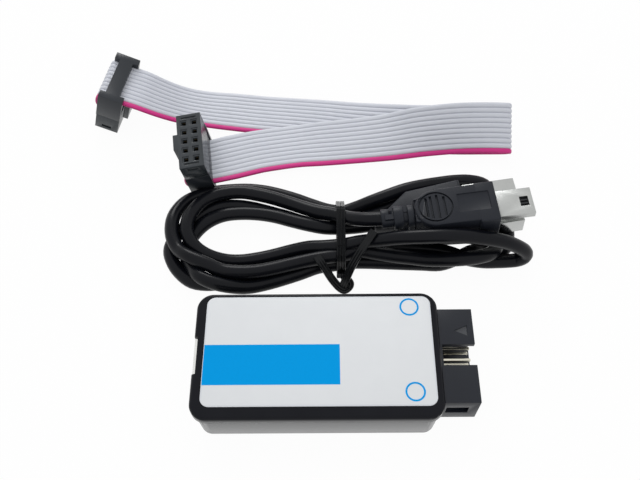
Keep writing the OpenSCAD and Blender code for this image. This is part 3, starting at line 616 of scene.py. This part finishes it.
def framed(points, widths, closed=False):
    """Stations along the points, whose faces lie across the given width ways."""
    last = len(points) - 1
    found = []
    for i, (p, w) in enumerate(zip(points, widths)):
        before = points[i - 1] if closed else points[max(i - 1, 0)]
        after = points[(i + 1) % len(points)] if closed else points[min(i + 1, last)]
        along = after - before
        face = along.cross(w).normalized()
        found.append((p, face.cross(along).normalized(), face))
    return found


def strip_profile(width, thickness):
    """Section of a flat coated wire: two edges with a thin web between them."""
    half, low, edge = width / 2, thickness * 0.36, thickness / 2
    top = [(-half, 0), (-half * 0.88, edge * 0.8), (-half * 0.62, edge), (-half * 0.3, low),
           (0, edge), (half * 0.3, low), (half * 0.62, edge), (half * 0.88, edge * 0.8)]
    return top + [(-x, -h) for x, h in top]


# ---- Rays from the camera ----
def ray_through(x, y):
    right, up, back = camera_axes()
    return (right * (x - WIDTH / 2) + up * (HEIGHT / 2 - y) - back * FOCAL_PIXELS).normalized()


def surface_tree(*objects):
    vertices, faces = [], []
    graph = bpy.context.evaluated_depsgraph_get()
    for obj in objects:
        done = obj.evaluated_get(graph)
        mesh = done.to_mesh()
        first = len(vertices)
        vertices += [obj.matrix_world @ v.co for v in mesh.vertices]
        faces += [[first + i for i in p.vertices] for p in mesh.polygons]
        done.to_mesh_clear()
    return BVHTree.FromPolygons(vertices, faces)


def spot_on(name, *carriers):
    """Where the named image point meets the pieces that carry it."""
    bpy.context.view_layer.update()
    tree = surface_tree(*carriers)
    way = ray_through(*POINTS[name])
    hit = tree.ray_cast(CAMERA_AT, way)
    if hit[0] is not None:
        return hit[0]
    far = CAMERA_AT + way * (tree.find_nearest(CAMERA_AT)[0] - CAMERA_AT).length
    return tree.find_nearest(far)[0]


def seen_at(point):
    """The image place of a point of the scene."""
    right, up, back = camera_axes()
    d = point - CAMERA_AT
    scale = FOCAL_PIXELS / -d.dot(back)
    return WIDTH / 2 + d.dot(right) * scale, HEIGHT / 2 - d.dot(up) * scale


# ---- Settings ----
def measure(name, description, default, low, high):
    """A length in metres that the sidebar can set."""
    return FloatProperty(name=name, description=description, default=default, min=low, max=high,
                         unit="LENGTH")


class PROGRAMMER_PG_lead(bpy.types.PropertyGroup):
    """Sizes of the USB lead and of the ribbon"""
    lead_diameter: measure("Lead diameter", "Diameter of the USB lead", LEAD_D, 0.003, 0.0035)
    ribbon_width: measure("Ribbon width", "Width of the ten-way ribbon", RIBBON_W, 0.012, 0.0127)
    tie_thickness: measure("Tie thickness", "Thickness of the coated wire tie",
                           0.9 * MM, 0.0007, 0.0012)


class PROGRAMMER_PG_print(bpy.types.PropertyGroup):
    """Print on the label"""
    band_colour: FloatVectorProperty(
        name="Band colour", description="Colour of the printed band", subtype="COLOR",
        default=(0.0, 0.325, 0.775), min=0, max=1)
    ring_outer: measure("Ring size", "Outer diameter of the rings round the lights",
                        4.0 * MM, 0.003, 0.005)
    ring_line: measure("Ring line", "Line width of the rings", 0.38 * MM, 0.0002, 0.0008)


# ---- Operators ----
class PROGRAMMER_OT_camera(bpy.types.Operator):
    """Place the camera"""
    bl_idname = "programmer.camera"
    bl_label = "Camera"

    def execute(self, context):
        data = bpy.data.cameras.new("camera")
        data.sensor_width = SENSOR
        data.lens = CAMERA_LENS
        data.clip_start = 0.005
        camera = linked("camera", data)
        right, up, back = camera_axes()
        turn = Matrix((right, up, back)).transposed().to_4x4()
        camera.matrix_world = Matrix.Translation(CAMERA_AT) @ turn
        context.scene.camera = camera
        return {"FINISHED"}


class PROGRAMMER_OT_usb_lead(bpy.types.Operator):
    """Lay the USB lead in its tied hank, with its tie"""
    bl_idname = "programmer.usb_lead"
    bl_label = "USB lead"

    def execute(self, context):
        settings = context.scene.programmer_lead
        diameter = settings.lead_diameter
        route = curve_through([Vector(p) * MM for p in LEAD_ROUTE], 4)
        for point in route:
            point.z = max(point.z, diameter / 2)
        lead = cord_piece("usb_lead", route, diameter)
        dress(lead, lead_finish(), "base", "cable_black",
              "lead_hank", "mini_plug_tail", "usb_a_tail")
        tie = self.tie(route, diameter, settings.tie_thickness)
        length = sum((b - a).length for a, b in zip(route, route[1:]))
        plugs = [n for n in CAD if n.startswith(("mini_plug_", "usb_a_")) and "tail" not in n]
        context.scene["lead_length"] = length
        context.scene["lead_exit"] = list(route[0])
        context.scene["lead_tie"] = tie.name
        context.scene["lead_plugs"] = " ".join(plugs)
        return {"FINISHED"}

    @staticmethod
    def tie(route, diameter, thickness):
        """Two turns of a flat coated wire round the hank, twisted together at the near side."""
        gap = (diameter + thickness) / 2
        crossings = [a.lerp(b, (TIE_X - a.x) / (b.x - a.x))
                     for a, b in zip(route, route[1:]) if (a.x - TIE_X) * (b.x - TIE_X) < 0]
        dots = sorted((c.y + gap * math.cos(t), max(c.z + gap * math.sin(t), thickness / 2))
                      for c in crossings for t in [k * math.pi / 12 for k in range(24)])

        def chain(points):
            kept = []
            for p in points:
                while len(kept) > 1 and ((kept[-1][0] - kept[-2][0]) * (p[1] - kept[-2][1])
                                         <= (kept[-1][1] - kept[-2][1]) * (p[0] - kept[-2][0])):
                    kept.pop()
                kept.append(p)
            return kept

        # Over the top from the far side, down to the twist, and back underneath
        around = chain(dots[::-1]) + [tuple(TWIST_AT)] + chain(dots)[1:-1]
        turn_width = 1.05 * MM
        parts = []
        for side in (-1, 1):
            knots = [Vector((TIE_X + side * turn_width / 2, y, z)) for y, z in around]
            points = curve_through(knots + knots[:1], 3)[:-1]
            across = [Vector((1, 0, 0))] * len(points)
            parts.append(swept("tie_turn", framed(points, across, True),
                               strip_profile(turn_width, thickness), True))
        for name, tail in (("tie_left", TIE_LEFT), ("tie_right", TIE_RIGHT)):
            points = curve_through([Vector(p) * MM for p in tail], 5)
            across = [(points[min(i + 1, len(points) - 1)] - points[max(i - 1, 0)])
                      .cross(TAIL_FACE).normalized() for i in range(len(points))]
            parts.append(swept(name, framed(points, across),
                               strip_profile(TAIL_WIDTH, thickness)))
        deselect()
        for part in parts:
            part.select_set(True)
        bpy.context.view_layer.objects.active = parts[0]
        bpy.ops.object.join()
        tie = newest("coated_wire_tie")
        smooth(tie, 40)
        black = moulded("tie_black", (0.003, 0.0035, 0.0045), 0.28, 0.6 * MM, sheen=0.2)
        return dress(tie, black, "base", "tie_black", "twist_tie")


class PROGRAMMER_OT_ribbon(bpy.types.Operator):
    """Lay the ten-way ribbon between its two sockets"""
    bl_idname = "programmer.ribbon"
    bl_label = "Ribbon"

    def execute(self, context):
        width = context.scene.programmer_lead.ribbon_width
        stations = self.stations()
        ribbon = self.build(stations, width)
        dress(ribbon, ribbon_finish(), "base", "ribbon_grey", "ribbon_cable")
        path = [p for p, w, n in stations]
        length = sum((b - a).length for a, b in zip(path, path[1:]))
        sockets = [n for n in CAD if n.startswith("socket_")]
        context.scene["ribbon_length"] = length
        context.scene["ribbon_path"] = [c for p in path for c in p]
        context.scene["ribbon_sockets"] = " ".join(sockets)
        return {"FINISHED"}

    @staticmethod
    def wrap(place, side):
        """Points of the ribbon's end, from inside its socket, round the fold and over the cover."""
        middle, radius = (WRAP_LOW + WRAP_HIGH) / 2, (WRAP_HIGH - WRAP_LOW) / 2
        flat = [(2.5, WRAP_LOW), (0.5, WRAP_LOW), (-1.5, WRAP_LOW)]
        fold_start, fold_reach = -2.6, 0.9
        bend = [(fold_start - fold_reach * math.sin(t), middle - radius * math.cos(t))
                for t in [k * math.pi / 10 for k in range(11)]]
        flat_out = [(-1.2, WRAP_HIGH), (1.2, WRAP_HIGH), (3.0, WRAP_HIGH)]
        width = (place.to_3x3() @ Vector((0, 1, 0))).normalized()
        return [(place @ (Vector((-side * x, 0, z)) * MM), width)
                for x, z in flat + bend + flat_out]

    def stations(self):
        """The ribbon's middle points, each with the directions of its width and its face."""
        knots = self.wrap(SOCKET_A_PLACE, -1)
        for x, y, z, tilt, turn in RIBBON_ROUTE:
            t, u = math.radians(tilt), math.radians(turn)
            width = Vector((math.sin(u) * math.cos(t), math.cos(u) * math.cos(t), math.sin(t)))
            knots.append((Vector((x, y, z)) * MM, width))
        knots += self.wrap(SOCKET_B_PLACE, 1)[::-1]
        points, widths = (curve_through([knot[k] for knot in knots], 4) for k in (0, 1))
        return framed(points, widths)

    @staticmethod
    def build(stations, width):
        half = RIBBON_T / 2
        steps = 6
        upper = []
        for i in range(WIRES * steps + 1):
            phase = i / steps % 1
            crown = math.sqrt(max(0.0, 1 - (2 * phase - 1) ** 2))
            upper.append((i / steps / WIRES * width - width / 2, half * (0.38 + 0.62 * crown)))
        profile = upper + [(x, -h) for x, h in reversed(upper)]
        ribbon = swept("ribbon", stations, profile)
        layer = ribbon.data.uv_layers.new(name="wires")
        ring = len(profile)
        for polygon in ribbon.data.polygons:
            across = [profile[v % ring][0] / width + 0.5 for v in polygon.vertices]
            mean = sum(across) / len(across)
            for loop, v, u in zip(polygon.loop_indices, polygon.vertices, across):
                # Nudged towards the face's middle, so that no face straddles two wires
                layer.data[loop].uv = (u * 0.98 + mean * 0.02, v // ring / len(stations))
        return smooth(ribbon, 60)


class PROGRAMMER_OT_case(bpy.types.Operator):
    """Finish the two halves of the case"""
    bl_idname = "programmer.case"
    bl_label = "Case"

    def execute(self, context):
        colour, grain = (0.0045, 0.005, 0.0075), 0.5 * MM
        satin = moulded("base_black", (0.02, 0.022, 0.024), 0.26, grain, 0.003 * MM, 0.04, 1.0)
        glossy = moulded("lid_black", colour, 0.2, grain, 0.003 * MM, 0.04, 0.12)
        # A stronger reflection, for the glare on the tray's front wall
        satin.node_tree.nodes["Principled BSDF"].inputs["IOR"].default_value = 1.7
        refine("bottom_shell", 0.12, satin, "case_black")
        refine("top_shell", 0.12, glossy, "case_black", "lid")
        return {"FINISHED"}


class PROGRAMMER_OT_label(bpy.types.Operator):
    """Finish the label and print its band and rings"""
    bl_idname = "programmer.label"
    bl_label = "Label"

    def execute(self, context):
        settings = context.scene.programmer_print
        label = refine("label_plate", 0.06, label_finish(), "label_film", "lid")
        colour = tuple(settings.band_colour)
        ink = ink_finish("band_ink", colour)
        middle = spot_on("band", label)
        ink_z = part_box("label_plate")[1].z / MM + FILM / 2
        band_length, band_width = 27.4, 8.55
        band = box_piece("printed_band", (band_length, band_width, FILM),
                         (middle.x / MM, middle.y / MM, ink_z))
        bevelled(band, 0.008, 1)
        dress(band, ink, "lid", "label_film")
        for name in ("far_ring", "near_ring"):
            at = spot_on(name, label)
            spot = (at.x / MM, at.y / MM, ink_z)
            outer = settings.ring_outer / 2 / MM
            ring = rod_piece("printed_" + name, outer, FILM, spot, sides=64)
            hole = rod_piece("hole", outer - settings.ring_line / MM, 1, spot, sides=64)
            combine(ring, hole, "DIFFERENCE")
            dress(ring, ink, "lid", "label_film")
        return {"FINISHED"}


class PROGRAMMER_OT_header(bpy.types.Operator):
    """Finish the box header and its pins"""
    bl_idname = "programmer.header"
    bl_label = "Box header"

    def execute(self, context):
        refine("header_shroud", 0.1, header_finish(), "header_black")
        tinned = metal("pin_metal", (0.72, 0.69, 0.58), 0.24, (0.1, 1, 1))
        refine("header_pins", 0.12, tinned, "gold_contact", segments=1)
        return {"FINISHED"}


class PROGRAMMER_OT_board(bpy.types.Operator):
    """Finish the board and what is soldered to it"""
    bl_idname = "programmer.board"
    bl_label = "Board"

    def execute(self, context):
        tin = metal("tinned_steel", (0.78, 0.78, 0.76), 0.28)
        gold = metal("contact_gold", GOLD, 0.26)
        repaint("circuit_board", board_finish())
        refine("usb_receptacle_shell", 0.06, tin, "tinned_steel")
        repaint("usb_receptacle_tongue", moulded("tongue_black", (0.012, 0.013, 0.015), 0.4))
        repaint("usb_receptacle_contacts", gold)
        epoxy = chip_finish("chip_black", (0.014, 0.014, 0.016))
        for node in ("microcontroller_chip", "voltage_regulator", "chip_resistors"):
            refine(node, 0.06, epoxy, "chip_black", segments=1)
        repaint("microcontroller_leads", tin)
        refine("crystal_can", 0.12, tin, "tinned_steel")
        refine("chip_capacitors", 0.06, chip_finish("ceramic_tan", (0.30, 0.21, 0.12)),
               "ceramic_tan", segments=1)
        lens = lens_finish()
        for node in ("power_led", "activity_led"):
            refine(node, 0.06, lens, "lens_clear")
        return {"FINISHED"}


class PROGRAMMER_OT_mini_plug(bpy.types.Operator):
    """Model the mini plug's grip and finish its shell"""
    bl_idname = "programmer.mini_plug"
    bl_label = "Mini plug"

    def execute(self, context):
        rubber = grip_finish("grip_black")
        thick, pad_x, pad_y, pad_r = 7.0, -21.7, -0.1, 4.65
        # Front block, narrower middle, round pad, and the block behind the pad
        grip = box_piece("mini_plug_grip", (4.4, 10.3, thick), (-10.35, -0.1, 0))
        bevelled(grip, 0.35, 3)
        for name, size, at in (("middle", (9.6, 9.5, thick), (-16.8, 0.05, 0)),
                               ("back", (7, 6.2, thick - 0.8), (-22.9, 0, 0))):
            combine(grip, bevelled(box_piece(name, size, at), 0.35, 3), "UNION")
        pad = rod_piece("pad", pad_r, thick + 0.1, (pad_x, pad_y, 0), sides=96)
        combine(grip, bevelled(pad, 0.4, 3, 50), "UNION")
        top = thick / 2
        # Each cutter is 1 mm high, so half of that less the depth is its height over the top
        for name, size, x, y, depth in (("panel", (7.1, 4.8, 1), -13.2, 0.2, 0.3),
                                        ("strip", (2.6, 5, 1), -25, 0, 0.75)):
            cutter = box_piece(name, size, (x, y, top + 0.5 - depth))
            combine(grip, bevelled(cutter, 0.25, 2), "DIFFERENCE")
        # Engraved ring, and upright grooves in the pad
        ring = rod_piece("ring", 3.9, 1, (pad_x, pad_y, top + 0.5 - 0.35), sides=64)
        core = rod_piece("core", 3.5, 2, (pad_x, pad_y, top), sides=64)
        combine(ring, core, "DIFFERENCE")
        combine(grip, ring, "DIFFERENCE")
        groove_width, groove_depth = 0.55, 0.45
        for x, reach in ((-1.95, 2.4), (-0.95, 2.9), (0.5, 3.1), (2.0, 2.5)):
            groove = box_piece("groove", (groove_width, 2 * reach, 1),
                               (pad_x + x, pad_y, top + 0.5 - groove_depth))
            combine(grip, groove, "DIFFERENCE")
        # Strain relief: a core, its ribs and end collar, and the webs between the ribs
        for name, radius, length, x in (("core", 1.95, 8.0, -29.8), ("rib", 2.85, 1.5, -27.2),
                                        ("rib", 2.75, 2.2, -30.0), ("collar", 2.1, 1.8, -33.0)):
            rib = rod_piece(name, radius, length, (x, 0.1 * (-26.4 - x), 0), "X", 40)
            combine(grip, bevelled(rib, 0.25, 2), "UNION")
        for x, z in ((-28.5, 0.9), (-31.9, -0.9)):
            web = box_piece("web", (2.2, 1.3, 2.4), (x, 0.1 * (-26.4 - x) + z, 0.9))
            combine(grip, web, "UNION")
        smooth(settle(grip, MINI_PLACE), 30)
        dress(grip, rubber, "base", "cable_black", "mini_plug_overmold")
        steel = metal("shell_steel", SHELL_STEEL, 0.38, grain=0.2 * MM, depth=0.03 * MM)
        refine("mini_plug_shell", 0.08, steel, "tinned_steel")
        repaint("mini_plug_insert", moulded("insert_black", (0.010, 0.011, 0.013), 0.4))
        repaint("mini_plug_contacts", metal("mini_contacts", GOLD, 0.26))
        return {"FINISHED"}


class PROGRAMMER_OT_large_plug(bpy.types.Operator):
    """Finish the large plug"""
    bl_idname = "programmer.large_plug"
    bl_label = "Large plug"

    def execute(self, context):
        rubber = grip_finish("large_grip_black")
        grip = box_piece("large_plug_grip", (0.6, 13.3, 8.2), (-13.2, 0, 0))
        # The grip's block, its taper and the sleeve round the lead
        draw_back(grip, 12.3, 0.86, 0.9)
        draw_back(grip, 5.0, 0.4, 0.62)
        draw_back(grip, 3.5, 0.86, 0.92)
        bevelled(grip, 0.55, 3, 15)
        smooth(settle(grip, LARGE_PLACE), 30)
        dress(grip, rubber, "base", "cable_black", "usb_a_overmold")
        steel = metal("large_shell_steel", SHELL_STEEL, 0.16, grain=0.4 * MM)
        refine("usb_a_shell", 0.1, steel, "tinned_steel")
        repaint("usb_a_tongue", moulded("white_plastic", (0.78, 0.78, 0.75), 0.38))
        repaint("usb_a_contacts", metal("large_contacts", GOLD, 0.26))
        return {"FINISHED"}


class PROGRAMMER_OT_sockets(bpy.types.Operator):
    """Finish the ribbon's two sockets"""
    bl_idname = "programmer.sockets"
    bl_label = "Ribbon sockets"

    def execute(self, context):
        grey = moulded("socket_grey", (0.026, 0.031, 0.036), 0.24, 0.3 * MM, 0.006 * MM,
                       sheen=0.4)
        dark = moulded("relief_black", (0.018, 0.021, 0.026), 0.3, 0.3 * MM, 0.006 * MM)
        # The contacts are coloured dark brown rather than gold: painted shade of the deep holes
        # they sit in
        shaded = metal("socket_contact_painted_shade", (0.10, 0.075, 0.035), 0.5)
        for side in "ab":
            for piece, paint, slot in (("body", grey, "socket_grey"),
                                       ("cover", grey, "socket_grey"),
                                       ("strain_relief", dark, "header_black")):
                node = f"socket_{side}_{piece}"
                refine(node, 0.1, paint, slot)
            repaint(f"socket_{side}_contacts", shaded)
        return {"FINISHED"}


def seen_rays(tree):
    """1 for the rays that show the floor and the world to the camera, and 0 for light."""
    path = tree.nodes.new("ShaderNodeLightPath")
    seen = path.outputs["Is Camera Ray"]
    for ray in ("Is Glossy Ray", "Is Transmission Ray"):
        either = tree.nodes.new("ShaderNodeMath")
        either.operation = "MAXIMUM"
        tree.links.new(seen, either.inputs[0])
        tree.links.new(path.outputs[ray], either.inputs[1])
        seen = either.outputs[0]
    return seen


class PROGRAMMER_OT_stage(bpy.types.Operator):
    """Lay the floor and set the lights"""
    bl_idname = "programmer.stage"
    bl_label = "Stage"

    def execute(self, context):
        scene = context.scene
        scene.view_settings.view_transform = "Standard"
        deselect()
        bpy.ops.mesh.primitive_plane_add(size=6, location=(0, 0, 0))
        floor = newest("floor")
        floor.data.materials.append(self.floor_finish())
        floor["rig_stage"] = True
        self.world(scene)
        middle = Vector((0, 35, 0)) * MM
        # Each light's place and size in metres, and its power in watts
        for name, at, size, power in (("top_light", (0, 0.10, 0.62), 0.9, 2.4),
                                      ("back_light", (-0.1, 0.7, 0.36), 0.32, 1.9),
                                      ("front_light", (0.1, -0.65, 0.35), 0.8, 1.1)):
            data = bpy.data.lights.new(name, "AREA")
            data.shape = "SQUARE"
            data.size, data.energy = size, power
            lamp = linked(name, data)
            lamp.location = at
            # Only the light behind draws highlights along the lead
            lamp.visible_glossy = name == "back_light"
            lamp.rotation_euler = (middle - lamp.location).to_track_quat("-Z", "Y").to_euler()
        return {"FINISHED"}

    @staticmethod
    def floor_finish():
        finish = Finish("floor_white")
        finish.set(Base_Color=(0.86, 0.86, 0.86), Roughness=0.9)
        seen = Value(finish, seen_rays(finish.tree))
        glow = finish.add("ShaderNodeEmission", None, Color=(1, 1, 1), Strength=1.0)
        # Nearly white where it is seen, with a trace of the pieces' shadows
        glowing = 0.96
        mixed = finish.add("ShaderNodeMixShader", None, seen * glowing,
                           Value(finish, finish.shader.outputs[0]), glow)
        out = finish.tree.nodes["Material Output"]
        finish.tree.links.new(mixed.socket, out.inputs["Surface"])
        return finish.material

    @staticmethod
    def world(scene):
        world = bpy.data.worlds.new("studio")
        scene.world = world
        world.use_nodes = True
        tree = world.node_tree
        back = tree.nodes["Background"]
        back.inputs["Color"].default_value = (1, 1, 1, 1)
        strength = tree.nodes.new("ShaderNodeMapRange")
        strength.inputs["To Min"].default_value = AMBIENT
        tree.links.new(seen_rays(tree), strength.inputs["Value"])
        tree.links.new(strength.outputs[0], back.inputs["Strength"])


class PROGRAMMER_PT_panel(bpy.types.Panel):
    """Lists the pieces"""
    bl_label = "Programmer"
    bl_idname = "PROGRAMMER_PT_panel"
    bl_space_type = "VIEW_3D"
    bl_region_type = "UI"
    bl_category = "Programmer"

    def draw(self, context):
        for group in (context.scene.programmer_lead, context.scene.programmer_print):
            for key in group.__annotations__:
                self.layout.prop(group, key)
        for operator in OPERATORS:
            self.layout.operator(operator.bl_idname)


GROUPS = (PROGRAMMER_PG_lead, PROGRAMMER_PG_print)
OPERATORS = (PROGRAMMER_OT_camera, PROGRAMMER_OT_usb_lead, PROGRAMMER_OT_ribbon,
             PROGRAMMER_OT_case, PROGRAMMER_OT_label, PROGRAMMER_OT_header,
             PROGRAMMER_OT_board, PROGRAMMER_OT_mini_plug, PROGRAMMER_OT_large_plug,
             PROGRAMMER_OT_sockets, PROGRAMMER_OT_stage)


def register():
    for cls in (*GROUPS, *OPERATORS, PROGRAMMER_PT_panel):
        bpy.utils.register_class(cls)
    bpy.types.Scene.programmer_lead = PointerProperty(type=PROGRAMMER_PG_lead)
    bpy.types.Scene.programmer_print = PointerProperty(type=PROGRAMMER_PG_print)


def unregister():
    del bpy.types.Scene.programmer_print
    del bpy.types.Scene.programmer_lead
    for cls in reversed((*GROUPS, *OPERATORS, PROGRAMMER_PT_panel)):
        bpy.utils.unregister_class(cls)


# ---- Where the pieces show in the image ----
def shown_pieces(*starts):
    return [o for o in bpy.data.objects if o.type == "MESH" and not o.hide_render
            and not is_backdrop(o) and (not starts or o.name.startswith(starts))]


def seen_vertices(pieces, tree):
    """The image places of the vertices that nothing hides."""
    found = []
    for piece in pieces:
        for vertex in piece.data.vertices:
            point = piece.matrix_world @ vertex.co
            way = point - CAMERA_AT
            hit = tree.ray_cast(CAMERA_AT, way.normalized())
            if hit[0] is None or hit[3] > way.length - 0.05 * MM:
                found.append(seen_at(point))
    return found


def write_points():
    """Works out how far the case's outline shows from its image points, and where the named pieces
    show, and keeps none of it.
    """
    tree = surface_tree(*shown_pieces())
    case = seen_vertices(
        shown_pieces("bottom_shell", "top_shell", "header_shroud", "label"), tree)
    for name, pick, axis in (("left", min, 0), ("right", max, 0), ("top", min, 1),
                             ("bottom", max, 1)):
        round(pick(p[axis] for p in case) - POINTS[name][axis], 1)
    corners = {
        "label_near_left": ("label_plate", (-1, 1)), "label_near_right": ("label_plate", (1, 1)),
        "label_far_left": ("label_plate", (-1, -1)), "label_far_right": ("label_plate", (1, -1)),
        "header_near_corner": ("header_shroud", (1, 0.35)),
        "header_far_corner": ("header_shroud", (0.7, -1)),
        "mini_shell_far": ("mini_plug_shell", (1, -1)),
        "mini_shell_near": ("mini_plug_shell", (1, 0.35)),
        "large_shell_far": ("usb_a_shell", (1, -1)),
        "socket_far_left": ("socket_b_body", (-1, -1)),
        "ribbon_far_right": ("ribbon", (1, -1)),
        "ribbon_near_right": ("ribbon", (1, 1)),
        "far_ring": ("printed_far_ring", None), "near_ring": ("printed_near_ring", None),
        "band": ("printed_band", None)}
    for name, (start, way) in corners.items():
        seen = seen_vertices(shown_pieces(start), tree)
        if not seen:
            continue


def declare_cords(scene):
    """Looks up the finished pieces on the lead and on the ribbon, and keeps none of them."""
    def finished(names):
        return [bpy.data.objects.get(n + "_finished") or bpy.data.objects.get(n) for n in names]

    plugs = finished([n for n in scene["lead_plugs"].split() if not n.endswith("overmold")])
    finished(scene["ribbon_sockets"].split())


def main():
    register()
    for operator in OPERATORS:
        group, name = operator.bl_idname.split(".")
        getattr(getattr(bpy.ops, group), name)()
    scene = bpy.context.scene
    declare_cords(scene)
    bpy.context.view_layer.update()
    write_points()


if __name__ == "__main__":
    main()
